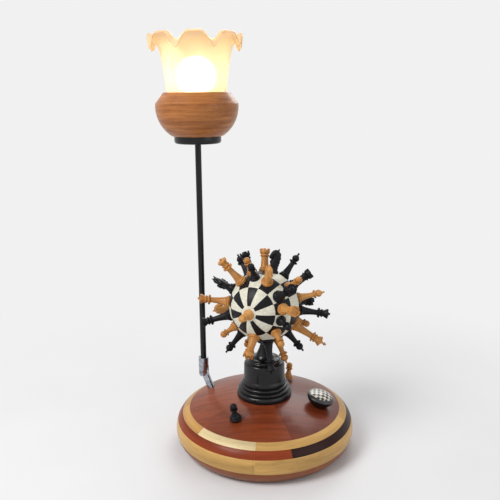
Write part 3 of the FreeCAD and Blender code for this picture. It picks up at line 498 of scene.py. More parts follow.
def turn_share(degrees):
    """Share of a whole turn at an angle, counted from the negative x axis."""
    return (degrees + 180) % 360 / 360


def ring_wood(name, boards, dark_share=0.3, gloss=0.34, coat=0.1, shine=0.22, joint_width=0.0005,
              bent=True, **look):
    """Lacquered ring of boards: each is (start angle in degrees, colour), counted round the circle."""
    material, tree, shader = new_finish(name, Coat_Weight=coat, Coat_Roughness=0.12,
                                        Specular_IOR_Level=shine)
    place, share = polar_place(tree)
    stops = sorted((turn_share(start), colour) for start, colour in boards)
    if stops[0][0] > 0:
        stops = [(0.0, stops[-1][1])] + stops
    pale = ramp(tree, share, *stops, interpolation="CONSTANT")
    jump = ramp(tree, share, *((p, (k * 0.37 % 1,) * 3 + (1,)) for k, (p, _) in enumerate(stops)),
                interpolation="CONSTANT")
    laid = place if bent else object_place(tree)
    moved = add(tree, "ShaderNodeVectorMath", {0: laid, 1: jump}, operation="ADD")
    grey, height = wood_colour(tree, moved.outputs[0], "X", (1, 1, 1, 1), (dark_share,) * 3 + (1,), **look)
    colour = mixed(tree, 1.0, pale, grey, "MULTIPLY")
    for start, _ in boards:
        across = maths(tree, "ABSOLUTE", maths(tree, "SUBTRACT", share, turn_share(start)))
        distance = maths(tree, "MULTIPLY", across, 2 * math.pi * RING_REACH)
        line = maths(tree, "LESS_THAN", distance, joint_width / 2)
        colour = mixed(tree, maths(tree, "MULTIPLY", line, 0.5), colour, linear(70, 36, 18))
    tree.links.new(colour, shader.inputs["Base Color"])
    tree.links.new(maths(tree, "MULTIPLY_ADD", height, -0.1, gloss + 0.05), shader.inputs["Roughness"])
    bumped(tree, shader, height, 0.00008, 0.3)
    return material


print("arc length is measured", RING_REACH, "m from the axis")

# %% [markdown]
# The boards follow what is seen from the front: a pale board beside a warm one in the thin
# maple ring, one nearly black segment in the red ring, and quiet changes of tone elsewhere.

# %% Boards of each layer
maple_pale, maple_warm, maple_gold = linear(240, 216, 164), linear(216, 170, 100), linear(206, 157, 88)
thin_finish = ring_wood("maple_thin_ring", [(-141, maple_pale), (-98, maple_warm), (-20, maple_gold),
                                            (80, maple_warm), (150, maple_gold)],
                        dark_share=0.66, pores=0.15)
wide_finish = ring_wood("maple_wide_ring", [(-98, maple_warm), (22, maple_gold),
                                            (142, linear(218, 172, 100))],
                        dark_share=0.56, pores=0.22)
red_finish = ring_wood("red_ring_boards", [(-75, linear(42, 13, 8)), (50, linear(138, 56, 28)),
                                           (170, linear(144, 60, 30))],
                       dark_share=0.6, coat=0.04, shine=0.14, pores=0.25)
bottom_finish = ring_wood("bottom_ring_boards", [(-60, linear(156, 90, 48)), (60, linear(160, 96, 54)),
                                                 (178, linear(152, 86, 46))], dark_share=0.6, pores=0.3)
dome_finish = ring_wood("dome_boards", [(-146, linear(140, 64, 33)), (-72, linear(118, 51, 28)),
                                        (0, linear(128, 59, 33)), (72, linear(138, 64, 36)),
                                        (144, linear(150, 72, 38))], dark_share=0.55, coat=0.14, pores=0.3,
                        joint_width=0.0004, bent=False)
print("a ring finish has", len(red_finish.node_tree.nodes), "nodes")

# %% [markdown]
# Wood of the cup
#
# The cup under the shade is one block of cherry-like wood turned with its grain lying level,
# so bands run straight across it. Object coordinates keep them level, and a squeezed mapping
# makes the layers thin in height. The hidden boards are plain plywood.

# %% Cup finish
cup_finish = wood("cup_wood_lacquered", linear(188, 122, 64), linear(130, 72, 35), along="X",
                  place=object_place, gloss=0.34, streaks=110.0, figure=0.8, pores=0.3, sway=0.0016,
                  layers=(0.6, 0.3, 2.2))
plywood = wood("plywood_plain", linear(206, 170, 122), linear(160, 122, 80), along="X", place=object_place,
               gloss=0.6, coat=0.0)
print("woods so far:", [m.name for m in (boxwood, ebonised, black_lacquer, cup_finish, plywood)])

# %% [markdown]
# Paint, metal, felt and plastic
#
# The ball is painted black and white over turned wood, so its paint keeps a fine, uneven
# texture. Chrome is nearly a mirror whose tint and roughness drift a little. The rod is gloss
# enamel. Felt is fibres: a rough, fuzzy surface with sheen. One function makes them all: noise
# moves the colour and the roughness, and a finer noise gives the bump.

# %% Paints and metals
def speckled(name, colour, second, scale, rough, spread, bump=0.0, depth=0.00005, **sockets):
    """Finish whose colour and roughness drift with noise, with a little bump."""
    material, tree, shader = new_finish(name, **sockets)
    where = object_place(tree)
    cloud = add(tree, "ShaderNodeTexNoise",
                {"Vector": where, "Scale": scale, "Detail": 5.0, "Roughness": 0.6})
    tint = ramp(tree, cloud.outputs[0], (0.3, second), (0.7, colour))
    tree.links.new(tint, shader.inputs["Base Color"])
    roughness = maths(tree, "MULTIPLY_ADD", cloud.outputs[0], spread, rough - spread / 2)
    tree.links.new(roughness, shader.inputs["Roughness"])
    if bump:
        grit = add(tree, "ShaderNodeTexNoise", {"Vector": where, "Scale": scale * 6, "Detail": 3.0})
        bumped(tree, shader, grit.outputs[0], depth, bump)
    return material


ball_white = speckled("ball_paint_white", linear(232, 230, 214), linear(208, 204, 184), scale=240.0,
                      rough=0.42, spread=0.1, bump=0.4, depth=0.0002, Specular_IOR_Level=0.3)
ball_black = speckled("ball_paint_black", linear(17, 15, 19), linear(8, 7, 11), scale=240.0,
                      rough=0.4, spread=0.1, bump=0.4, depth=0.0002, Specular_IOR_Level=0.2)
chrome = speckled("chrome_polished", linear(196, 199, 206), linear(120, 124, 134), scale=130.0,
                  rough=0.12, spread=0.1, Metallic=1.0)
steel = speckled("steel_ground", linear(176, 176, 178), linear(150, 150, 154), scale=500.0,
                 rough=0.34, spread=0.12, bump=0.2, Metallic=1.0)
zinc = speckled("zinc_plated_steel", linear(190, 192, 190), linear(160, 164, 168), scale=200.0,
                rough=0.38, spread=0.16, bump=0.1, Metallic=1.0)
brass = speckled("brass_turned", linear(208, 168, 92), linear(186, 144, 72), scale=300.0,
                 rough=0.28, spread=0.1, bump=0.1, Metallic=1.0)
black_enamel = speckled("black_enamel", linear(18, 18, 20), linear(11, 11, 13), scale=120.0,
                        rough=0.26, spread=0.06, bump=0.08, Specular_IOR_Level=0.3)
black_plastic = speckled("black_plastic_moulded", linear(34, 34, 36), linear(26, 26, 28), scale=900.0,
                         rough=0.5, spread=0.1, bump=0.25)
ceramic = speckled("glazed_ceramic", linear(232, 228, 216), linear(220, 214, 200), scale=90.0,
                   rough=0.22, spread=0.05)
felt = speckled("green_felt", linear(34, 58, 44), linear(22, 42, 32), scale=700.0, rough=0.95, spread=0.06,
                bump=0.9, depth=0.0006, Sheen_Weight=0.6, Sheen_Roughness=0.6)
print("finishes so far:", len(bpy.data.materials))

# %% [markdown]
# Lit glass
#
# The shade is satin glass with a warm tint. Seen from outside it glows, brightest level with
# the bulb, dimmer and warmer at the lip. Rough transmission lets the bright bulb show through
# as a soft blur from any side. A faint painted glow of the glass itself, and a base colour
# painted lighter near the bulb, both fall off with distance from the bulb and stand for light
# scattered inside the wall; tracing that light would take many times as long and show no more.

# %% Glass finishes
bulb_height = 567.0
bulb_middle = np.array([rod_axis[0], rod_axis[1], bulb_height])
near_distance, glow_fall, neck_distance = 0.046, 0.048, 0.06


def distance_from(tree, point):
    """Distance in metres from a point of the lamp."""
    offset = add(tree, "ShaderNodeVectorMath", {0: object_place(tree), 1: tuple(point * MM)},
                 operation="SUBTRACT")
    return add(tree, "ShaderNodeVectorMath", {0: offset.outputs[0]}, operation="LENGTH").outputs["Value"]


def lit_glass():
    """Satin glass with a painted glow and a base colour painted lighter near the bulb, both falling in a line
    to the lip, with a soft cloud.
    """
    material, tree, shader = new_finish("shade_glass_satin", Transmission_Weight=0.4, IOR=1.15,
                                        Emission_Strength=0.22, Specular_IOR_Level=0.3)
    # Painted light: the emission colour and the base colour below both fall off with distance from the bulb.
    away = distance_from(tree, bulb_middle)
    near = maths(tree, "MULTIPLY_ADD", away, -1 / glow_fall, 1 + near_distance / glow_fall, clamp=True)
    glow = ramp(tree, near, (0.0, linear(150, 116, 78)), (0.35, linear(206, 178, 124)),
                (1.0, linear(240, 222, 160)))
    cloud = add(tree, "ShaderNodeTexNoise", {"Vector": object_place(tree), "Scale": 45.0, "Detail": 3.0})
    cloudy = maths(tree, "MULTIPLY", cloud.outputs[0], 0.3)
    # Painted light over the glass's own warm tint: the base colour is lighter near the bulb and darker
    # towards the lip.
    tint = ramp(tree, near, (0.0, linear(238, 208, 172)), (0.4, linear(248, 230, 194)),
                (1.0, linear(253, 246, 224)))
    tree.links.new(mixed(tree, cloudy, glow, linear(190, 146, 90)), shader.inputs["Emission Color"])
    tree.links.new(mixed(tree, cloudy, tint, linear(232, 192, 150)), shader.inputs["Base Color"])
    tree.links.new(maths(tree, "MULTIPLY_ADD", cloud.outputs[0], 0.08, 0.22), shader.inputs["Roughness"])
    return material


def lit_bulb():
    """Opal bulb, white hot in the middle and a little warmer at its neck."""
    material, tree, shader = new_finish("bulb_glass_lit", Emission_Strength=8.0, Roughness=0.3)
    away = distance_from(tree, bulb_middle)
    share = maths(tree, "MULTIPLY", away, 1 / neck_distance)
    warm = ramp(tree, share, (0.0, linear(255, 252, 244)), (1.0, linear(255, 236, 200)))
    tree.links.new(warm, shader.inputs["Emission Color"])
    tree.links.new(warm, shader.inputs["Base Color"])
    return material


shade_glass = lit_glass()
bulb_glass = lit_bulb()
print("middle of the bulb:", bulb_middle.round(1))

# %% [markdown]
# The laminated base
#
# Four rings make the rounded edge and a domed disc closes the top. The outside of the edge is
# one arc, so every layer takes its part of the same circle. Each layer is a closed ring, not a
# painted stripe, with its arrises just broken, which shows as a hairline between the woods.

# %% Rings of the base
def edge_at(height):
    """Radius of the rounded edge at a height: one circle's arc."""
    return base_radius - edge_radius + np.sqrt(edge_radius ** 2 - (height - edge_height) ** 2)


def ring_profile(low, high, bore=104.0, break_width=0.12, steps=10):
    """Closed profile of one layer, with a hair broken off its outer arrises."""
    heights = np.linspace(low + break_width, high - break_width, steps)
    outside = np.stack([edge_at(heights), heights], -1)
    return joined([(bore, low), (edge_at(low) - break_width, low)], outside,
                  [(edge_at(high) - break_width, high), (bore, high), (bore, low)])


for name, finish, slot in (
        ("base_bottom_ring", bottom_finish, "dark_wood"), ("maple_ring_wide", wide_finish, "pale_wood"),
        ("red_ring", red_finish, "red_wood"), ("maple_ring_thin", thin_finish, "pale_wood")):
    lowest, highest = span(name)
    skin = lathe(ring_profile(lowest[2], highest[2]), 256)
    piece(name + "_turned", [(STILL, skin)], "base", finish, [name], crisp=50)

# %% [markdown]
# Dome
#
# The dome is a shallow cap of a sphere. The pedestal, the knob and the buttons cover their
# holes, so the disc is turned whole, with no holes to cut; only the leaning stub passes through
# it in view, and casts its own thin ring of shadow where it enters.

# %% Dome
def dome_height(radius):
    """Height of the dome's cap at a distance from the axis."""
    return dome_top - dome_sphere + np.sqrt(dome_sphere ** 2 - np.asarray(radius, float) ** 2)


dome_bore, broken = 7.0, 0.15
reach = np.linspace(dome_edge - broken, dome_bore, 40)
dome_profile = joined([(dome_bore, dome_foot), (dome_edge - broken, dome_foot),
                       (dome_edge, dome_foot + 0.12)],
                      np.stack([reach, dome_height(reach)], -1), [(dome_bore, dome_foot)])
piece("base_dome_turned", [(STILL, lathe(dome_profile, 256))], "base", dome_finish, ["base_dome"])

# %% [markdown]
# Pedestal
#
# The pedestal is turned from one black block: a plain foot, two beads, a cove, a drawn-in body
# with a soft shoulder, a step and a neck that narrows to the spindle. One profile holds all of
# it. Its heights count up from the seat on the dome, the beads are arcs, the cove is a sagged
# line, and the rest is a run of points whose corners are eased.

# %% Pedestal
foot_radius = span("pedestal_body")[1][0]
seat, neck_top = span("pedestal_body")[0][2], span("pedestal_body")[1][2]
pedestal_profile = joined(
    [(6.0, seat), (foot_radius - 0.5, seat)],
    eased([(foot_radius - 0.1, seat + 0.5), (foot_radius, seat + 6.4), (foot_radius - 1.4, seat + 8.8),
           (foot_radius - 3.4, seat + 9.7)], 2.2),
    arc((foot_radius - 4.6, seat + 12.4), 2.4, -58, 62),
    [(foot_radius - 5.4, seat + 14.9)],
    arc((foot_radius - 8.2, seat + 17.8), 2.5, -54, 66),
    sagged((foot_radius - 9.1, seat + 20.6), (32.6, seat + 29.0), 1.1, 12),
    eased([(32.6, seat + 29.0), (32.2, seat + 36.0), (31.8, seat + 52.0), (30.6, seat + 55.2),
           (26.4, seat + 57.0), (25.4, seat + 58.0), (25.2, seat + 60.2), (22.4, seat + 61.6),
           (16.6, seat + 62.6), (13.2, seat + 66.0), (9.0, seat + 75.0), (5.9, neck_top)], 1.6),
    [(2.6, neck_top)])
piece("pedestal_turned", [(STILL, lathe(pedestal_profile, 160))], "base", black_lacquer, ["pedestal_body"])

# %% [markdown]
# Collar under the ball
#
# The collar is a short black drum that turns with the ball. Its top is hollowed to the ball's
# own round, so the ball sits in it without a gap: the dish's height comes from the circle.

# %% Collar
hub_low, hub_high = span("ball_hub")
dish = math.sqrt(ball_radius ** 2 - (hub_high[0] - 0.4) ** 2)
hub_profile = joined([(2.6, hub_low[2])],
                     eased([(6.8, hub_low[2]), (8.0, hub_low[2] + 0.2), (hub_high[0], hub_low[2] + 2.2),
                            (hub_high[0], ball_middle[2] - dish - 0.6),
                            (hub_high[0] - 0.6, ball_middle[2] - dish)], 0.8),
                     [(2.6, ball_middle[2] - ball_radius - 0.2)])
piece("ball_hub_turned", [(STILL, lathe(hub_profile, 96))], "ball_rotor", black_lacquer, ["ball_hub"])

# %% [markdown]
# Chequered ball
#
# The ball's pattern is painted in bands round a pole that faces forwards and a little to the
# left: a white cap, then bands cut into fourteen segments, black and white by turns, each band
# shifted by one. A shader could draw it, but its borders would have no groove to catch light. The
# grid's rows and columns follow the pattern, so every face belongs to one field and takes its
# paint by a simple parity of band and segment.

# %% Ball
pole_azimuth, pole_latitude = -117.0, 3.0
cap_angle, band_angle, segments, first_joint = 12.5, 31.0, 14, 77.5
rows_per_band, columns_per_segment = 10, 10
groove = 0.10


def ball_skin():
    """Sphere in polar rows about its pole, with a hair's groove pressed in along each painted border."""
    borders = cap_angle + band_angle * np.arange(6)
    banded_rows = [np.linspace(b, b + band_angle, rows_per_band, endpoint=False) for b in borders[:-1]]
    rows = np.concatenate([np.linspace(0, cap_angle, 6)[1:-1]] + banded_rows
                          + [np.linspace(borders[-1], 180, 6)[:-1]])
    columns = first_joint + np.arange(segments * columns_per_segment) * 360 / (segments * columns_per_segment)
    row, column = np.radians(rows)[:, None], np.radians(columns)[None]
    banded = (rows >= borders[0] - 0.01) & (rows <= borders[-1] + 0.01)
    on_border = np.isclose(np.mod(rows - cap_angle, band_angle), 0, atol=0.01) & banded
    on_joint = np.arange(len(columns)) % columns_per_segment == 0
    radius = ball_radius - groove * (on_border[:, None] | (on_joint[None] & banded[:, None]))
    grid = np.stack([radius * np.sin(row) * np.cos(column), radius * np.sin(row) * np.sin(column),
                     radius * np.cos(row) * np.ones_like(column)], -1)
    band = np.floor((rows[:-1] + rows[1:] - 2 * cap_angle) / 2 / band_angle).astype(int)
    segment = np.arange(len(columns)) // columns_per_segment
    white = (band[:, None] + segment[None]) % 2 == 1
    white |= ((band < 0) | (band > 4))[:, None]
    return closed_skin(grid), white.ravel()


print("borders at", cap_angle + band_angle * np.arange(6), "degrees from the pole")

# %% [markdown]
# The pattern's pole is laid forwards by a turn built from three directions at right angles: the
# pole, a level line square to it, and the line square to both. A cap of paint is then a plain
# choice of material for each face.

# %% Lay the pole and paint the fields
swing, climb = math.radians(pole_azimuth), math.radians(pole_latitude)
pole = np.array([math.cos(swing) * math.cos(climb), math.sin(swing) * math.cos(climb), math.sin(climb)])
level = np.cross(pole, [0, 0, 1])
level /= np.linalg.norm(level)
ball_turn = np.eye(4)
ball_turn[:3, :3] = np.stack([level, np.cross(level, pole), pole], -1)
ball_turn[:3, 3] = ball_middle
ball_shell, ball_fields = ball_skin()
chequered_ball = piece("ball_chequered", [(ball_turn, ball_shell)], "ball_rotor", [ball_black, ball_white],
                       ["ball"])
fields = np.concatenate([ball_fields, np.ones(len(ball_shell[2]), bool)])
chequered_ball.data.polygons.foreach_set("material_index", fields.astype(np.int32))
print("white faces:", int(fields.sum()), "of", len(fields))

# %% [markdown]
# Chess pieces
#
# Turned chess pieces share one foot, one flared stem and one collar; only the head tells them
# apart. Each kind is a profile with a few numbers of its own, in millimetres above the ball.
# Their feet reach a millimetre below the ball's surface, because a flat foot on a round ball
# would show a gap at its rim.

# %% Rings and stems
SUNK = 1.0
PIECE_COLUMNS = 44


def ring(radius, height, thickness):
    """Rounded ring of a turned piece: half a superellipse, fuller than a half circle."""
    a = np.radians(np.linspace(-80, 80, 8))
    reach = thickness * 0.45
    bulge = reach * np.abs(np.cos(a)) ** 0.6
    rise = thickness / 2 * np.sin(a) / math.sin(math.radians(80))
    return np.stack([radius - reach + bulge, height + rise], -1)


def stem(base, slim, collar, collar_height, foot=3.2):
    """Foot of two rings, a flare that thins as a power of height, and a double collar."""
    t = np.linspace(0, 1, 10)
    flare_low, flare_high = foot + 2.6, collar_height - 1.6
    flare_radius = slim + (base - 2.6 - slim) * (1 - t) ** 1.9
    flare = np.stack([flare_radius, flare_low + (flare_high - flare_low) * t], -1)
    return joined([(base - 0.5, -SUNK), (base - 0.1, -SUNK + 0.4)], ring(base, 1.5, foot - 0.4),
                  [(base - 2.2, foot + 0.2)], ring(base - 1.5, foot + 1.2, 1.9), flare,
                  [(slim + 0.3, collar_height - 1.0)], ring(collar - 1.2, collar_height - 0.7, 1.0),
                  ring(collar, collar_height + 0.7, 1.8), [(slim + 0.6, collar_height + 1.9)])


print("a pawn's stem has", len(stem(8.0, 3.4, 5.8, 16.4)), "points")

# %% [markdown]
# Pawn and rook
#
# A pawn ends in a plain ball. A rook is a tower with four notches. A Boolean could cut them,
# but the lathe can do it alone: where the angle falls in a notch, the rim's points drop to the
# notch's floor, with two columns close together on each side, so that the notch has steep walls.

# %% Pawn and rook
def pawn_profile(base):
    """Ball head on a stem."""
    return joined(stem(base, 3.4, 5.8, 16.4), arc((0, 22.1), 5.2, -54, 88, 12))


def pawn():
    """The smallest piece."""
    return lathe(pawn_profile(8.0), PIECE_COLUMNS)


def rook():
    """Tower with four notches: the rim drops where the angle falls in a notch."""
    edges = np.radians(17.0)
    quarter = np.arange(4)[:, None] * np.pi / 2
    part = np.concatenate([np.linspace(-edges, edges, 4), [edges + 0.01],
                           np.linspace(edges + 0.01, np.pi / 2 - edges - 0.01, 7)[1:]])
    angles = (quarter + part[None]).ravel()
    tower = eased([(5.8, 25.4), (7.2, 26.8), (7.9, 28.2), (7.9, 34.0), (5.7, 34.0), (5.7, 30.9),
                   (0.02, 30.9)], 0.3, 2)
    notch_floor = 31.6

    def notch(radius, height, angle):
        inside = np.abs(np.mod(angle + np.pi / 4, np.pi / 2) - np.pi / 4) <= edges + 1e-6
        return radius, np.where(inside & (height > notch_floor), notch_floor, height)

    return lathe(joined(stem(9.0, 5.4, 7.2, 22.6), tower), angles=angles, wobble=notch)


print("pawn", len(pawn()[0]), "points, rook", len(rook()[0]), "points")

# %% [markdown]
# Bishop
#
# The mitre is a sine that swells and a power that draws it in to the tip. Its cut is a slanting
# plane: the nearer a point on the front is to that plane, the further it is pressed inwards.

# %% Bishop
def bishop():
    """Pointed mitre: a swelling sine less a power of the rise, a slanting cut and a bead on top."""
    rise = np.linspace(0, 1, 16)
    swell = 3.9 + 2.2 * np.sin(np.pi * np.minimum(rise * 1.1, 1)) - 2.9 * rise ** 2.6
    mitre = np.stack([swell, 29.8 + 11.2 * rise], -1)

    def cut(radius, height, angle):
        lean = math.radians(50)
        across = (height - 37.0) * math.cos(lean) - (radius * np.cos(angle) - 2.4) * math.sin(lean)
        deep = np.clip(1 - np.abs(across) / 0.8, 0, 1) * (radius * np.cos(angle) > -0.2)
        deep = deep * (height > 33) * (height < 40.8)
        return radius * (1 - 0.38 * np.minimum(deep * 2, 1)), height

    return lathe(joined(stem(8.8, 3.8, 6.9, 27.0), mitre, arc((0, 42.3), 1.7, -50, 88, 7)), 64, wobble=cut)


print("bishop", len(bishop()[0]), "points")

# %% [markdown]
# Queen and king
#
# Both have a second collar and a flared crown. The queen's rim is scalloped by the cosine of
# nine times the angle and her dome ends in a bead. The king's cross is a flat outline that gets
# a thickness, with its rims eased.

# %% Queen and king
def queen():
    """Second collar, flared coronet whose rim rises and falls by a cosine, low dome and bead."""
    crown = joined(ring(6.3, 36.4, 2.0),
                   eased([(4.9, 37.7), (5.0, 39.4), (7.8, 44.8), (7.5, 45.8), (6.3, 45.4)], 0.35, 3))

    def scallop(radius, height, angle):
        at_rim = np.clip((height - 44.2) / 1.0, 0, 1) * (radius > 5.0) * (height < 46.2)
        return radius, height + at_rim * 0.5 * np.cos(9 * angle)

    profile = joined(stem(9.5, 4.2, 7.9, 31.0), [(4.9, 34.6)], crown, [(5.2, 44.7), (3.8, 46.1), (1.7, 46.9)],
                     arc((0, 48.0), 2.0, -40, 88, 8))
    return lathe(profile, 54, wobble=scallop)


def prism(outline, thickness, bevel=0.35):
    """Flat outline in x and z given a thickness along y, with its two rims eased."""
    outline = np.asarray(outline, float)
    middle = outline.mean(0)
    inset = 1 - 2 * bevel / thickness
    depth = np.array([-1, -inset, inset, 1]) * thickness / 2
    rim = 1 - bevel / np.abs(outline - middle).max()
    shrink = np.array([rim, 1, 1, rim])
    flat = middle + (outline[None] - middle) * shrink[:, None, None]
    y = np.repeat(depth[:, None], len(outline), 1)
    return closed_skin(np.stack([flat[..., 0], y, flat[..., 1]], -1))


def cross_outline():
    """Cross with flared arms, as (x, z) points."""
    quarter = [(0.8, 0.0), (1.0, 2.4), (2.6, 2.0), (2.6, 4.2), (1.0, 3.9), (1.4, 6.1)]
    return np.array(quarter + [(-x, z) for x, z in reversed(quarter)])


def king():
    """Second collar, broad crown, domed top and a cross."""
    crown = joined(ring(6.9, 38.6, 2.2),
                   eased([(5.2, 40.0), (5.4, 41.8), (8.0, 47.0), (7.9, 48.2), (6.8, 48.6)], 0.4, 3))
    profile = joined(stem(9.8, 4.6, 8.2, 34.0), [(5.2, 37.2)], crown,
                     sagged((6.6, 48.8), (1.8, 51.2), -0.6, 6), [(1.3, 52.2)])
    cross = prism(cross_outline() + np.array([0, 51.8]), 1.9, 0.3)
    return [lathe(profile, PIECE_COLUMNS), cross]


print("queen", len(queen()[0]), "points, king", sum(len(skin[0]) for skin in king()), "points")

# %% [markdown]
# Knight
#
# The knight is the one carved piece. Its head and neck are a tube of ovals along a curved
# spine: up the neck, over the poll and down to the muzzle. The oval's depth and width change
# along the way, a rippled ridge on the outer side makes the mane, and two small ears stand on
# the poll.

# %% Knight
def spline(stops, count):
    """Smooth run through rows of numbers, by a cubic through each four neighbours."""
    stops = np.asarray(stops, float)
    padded = np.concatenate([2 * stops[:1] - stops[1:2], stops, 2 * stops[-1:] - stops[-2:-1]])
    t = np.linspace(0, len(stops) - 1, count)
    k = np.minimum(t.astype(int), len(stops) - 2)
    u = (t - k)[:, None]
    p0, p1, p2, p3 = (padded[k + n] for n in range(4))
    bend = (2 * p0 - 5 * p1 + 4 * p2 - p3) * u ** 2
    return 0.5 * (2 * p1 + (p2 - p0) * u + bend + (3 * p1 - p0 - 3 * p2 + p3) * u ** 3)


def horse():
    """Ovals along the spine; each row of stops is x, z, half depth, half width."""
    stops = [(0.4, 6.2, 6.2, 5.0), (0.2, 11.0, 6.4, 4.6), (-0.6, 17.0, 6.1, 4.2), (-1.1, 22.5, 5.9, 4.0),
             (-0.2, 27.2, 5.7, 3.9), (2.6, 29.0, 5.0, 3.7), (5.0, 26.4, 4.2, 3.3), (6.8, 23.2, 3.5, 3.0),
             (8.0, 20.8, 3.1, 2.8), (8.7, 19.6, 1.8, 1.8)]
    run = spline(stops, 46)
    spine, deep, wide = run[:, :2], run[:, 2:3], run[:, 3:4]
    ahead = np.gradient(spine, axis=0)
    ahead /= np.linalg.norm(ahead, axis=1)[:, None]
    front = np.stack([ahead[:, 1], -ahead[:, 0]], -1)
    around = np.linspace(0, 2 * np.pi, 30, endpoint=False)[None]
    along = np.linspace(0, 1, len(run))[:, None]
    back = np.clip(-np.cos(around) - 0.55, 0, 1) / 0.45 * np.clip(1 - (along / 0.62) ** 6, 0, 1)
    mane = 1 + back * (0.12 + 0.07 * np.sin(along * 62))
    cheek = 1 + 0.16 * np.exp(-((along - 0.6) / 0.08) ** 2) * np.abs(np.sin(around))
    mouth = 1 - 0.14 * np.exp(-((along - 0.9) / 0.02) ** 2) * (np.cos(around) > 0.1)
    u, v = deep * np.cos(around) * mane * mouth, wide * np.sin(around) * cheek * mouth
    x = spine[:, :1] + front[:, :1] * u
    z = spine[:, 1:] + front[:, 1:] * u
    return closed_skin(np.stack([x, v, z], -1))


def knight():
    """Turned plinth, horse's head and two ears."""
    plinth = joined([(8.5, -SUNK), (9.0, -SUNK + 0.4), (9.0, 0.7)], arc((7.8, 1.7), 1.2, -30, 70, 5),
                    [(7.3, 3.2), (7.3, 3.8), (6.9, 4.4), (6.6, 6.4), (6.1, 7.0), (0.02, 7.0)])
    ear = lathe([(0.02, 0.0), (1.5, 0.0), (1.25, 1.8), (0.3, 4.6), (0.02, 4.8)], 12)
    ears = [shift(-1.2, 1.7 * side, 32.2) @ turn(-12 * side, "X") @ turn(-14, "Y") for side in (-1, 1)]
    skins = [lathe(plinth, PIECE_COLUMNS), horse()]
    return skins + [(carried(m, ear[0]), ear[1], ear[2]) for m in ears]


print("knight", sum(len(skin[0]) for skin in knight()), "points")

# %% [markdown]
# The army on the ball
#
# Where each piece stands is the one list that the lamp's maker chose: azimuth, latitude and
# spin. Each frame node holds one kind of one colour, and one new piece stands for it.

# %% Stand the pieces on the ball
def skins_of(made):
    """A maker's result as a list of skins."""
    return made if isinstance(made, list) else [made]


PLACES = {
    ("light", "kings"): (king, [(-12, -31, 20)]),
    ("light", "queens"): (queen, [(174, 5, 0), (-167, 49, 0)]),
    ("light", "bishops"): (bishop, [(-19, -68, 90), (11, 9, 60), (95, -30, 0)]),
    ("light", "knights"): (knight, [(156, -12, 200), (-82, 58, 20)]),
    ("light", "rooks"): (rook, [(-114, -44, 20), (-60, 10, 10), (86, 69, 30)]),
    ("light", "pawns"): (pawn, [(-165, -32, 0), (150, -66, 0), (-69, -31, 0), (-29, 40, 0), (180, 70, 0),
                                (-116, 2, 0), (10, -27, 0), (50, -30, 0), (120, 12, 0)]),
    ("dark", "kings"): (king, [(75, 34, 0)]),
    ("dark", "queens"): (queen, [(176, -17, 0), (-77, -65, 0), (2, -9, 0), (-64, 30, 0)]),
    ("dark", "bishops"): (bishop, [(180, -52, 0), (2, -51, 90), (28, 50, 60), (125, 43, 0), (70, 2, 0)]),
    ("dark", "knights"): (knight, [(21, 75, 160), (174, 28, 90), (125, -30, 0)]),
    ("dark", "rooks"): (rook, [(28, -4, 20), (8, 34, 0), (137, 62, 0), (62, -52, 0), (145, 15, 0)]),
    ("dark", "pawns"): (pawn, [(-64, -8, 0), (-128, 65, 0), (98, 12, 0), (45, 15, 0)]),
}
for (colour, kind), (maker, places) in PLACES.items():
    parts = [(on_ball(*place), skin) for place in places for skin in skins_of(maker())]
    finish = boxwood if colour == "light" else ebonised
    node = f"{colour}_{kind}"
    piece(node + "_turned", parts, "ball_rotor", finish, [node], crisp=45)
print("pieces on the ball:", sum(len(places) for _, places in PLACES.values()))

# %% [markdown]
# Knob
#
# The knob is a black turned mushroom with a low domed cap, which is a piece of its own. Both
# are lathed upright and then set square on the dome.

# %% Skirt and cap of the knob
KNOB = (-15.6, 86.8)
knob_radius, knob_low, knob_seam, knob_top = 21.5, 1.0, 13.4, 21.4
skirt_curve = eased([(12.6, knob_low), (13.6, 1.2), (16.6, 4.6), (19.8, 8.6), (21.3, 12.4), (21.4, 13.2),
                     (21.0, knob_seam)], 1.2)
skirt_profile = joined([(8.0, knob_low)], skirt_curve, [(8.0, knob_seam), (8.0, knob_low)])
piece("knob_skirt_turned", [(on_dome(*KNOB), lathe(skirt_profile, 112))], "knob", black_lacquer,
      ["knob_skirt"])
cap_rise = knob_top - 15.0
cap_sphere = (knob_radius ** 2 + cap_rise ** 2) / (2 * cap_rise)
cap_reach = np.linspace(20.4, 0.4, 16)
cap_height = knob_top - cap_sphere + np.sqrt(cap_sphere ** 2 - cap_reach ** 2)
cap_profile = joined([(0.02, knob_seam), (21.0, knob_seam)],
                     eased([(21.4, 13.5), (21.5, 14.2), (21.2, 15.0), (20.6, 15.5)], 0.5),
                     np.stack([cap_reach, cap_height], -1))
print("the cap's sphere has a radius of", round(cap_sphere, 1), "mm")

# %% [markdown]
# The cap is painted like a chess board. Its squares lie flat across it, so they are read from
# the place that each point had before the knob was set on the dome. A square is white where
# its row and its column aren't both even or both odd, and the rim stays black all round.

# %% Chequer of the cap
SQUARE = 0.0047
CHEQUER_TURN = math.radians(36)
CHEQUER_REACH = 0.0172


def parity(tree, along, start):
    """0 or 1 by turns from square to square: the whole part of length over side, modulo two."""
    steps = maths(tree, "MULTIPLY_ADD", along, 1 / SQUARE, start)
    return maths(tree, "MODULO", maths(tree, "FLOOR", steps), 2.0)


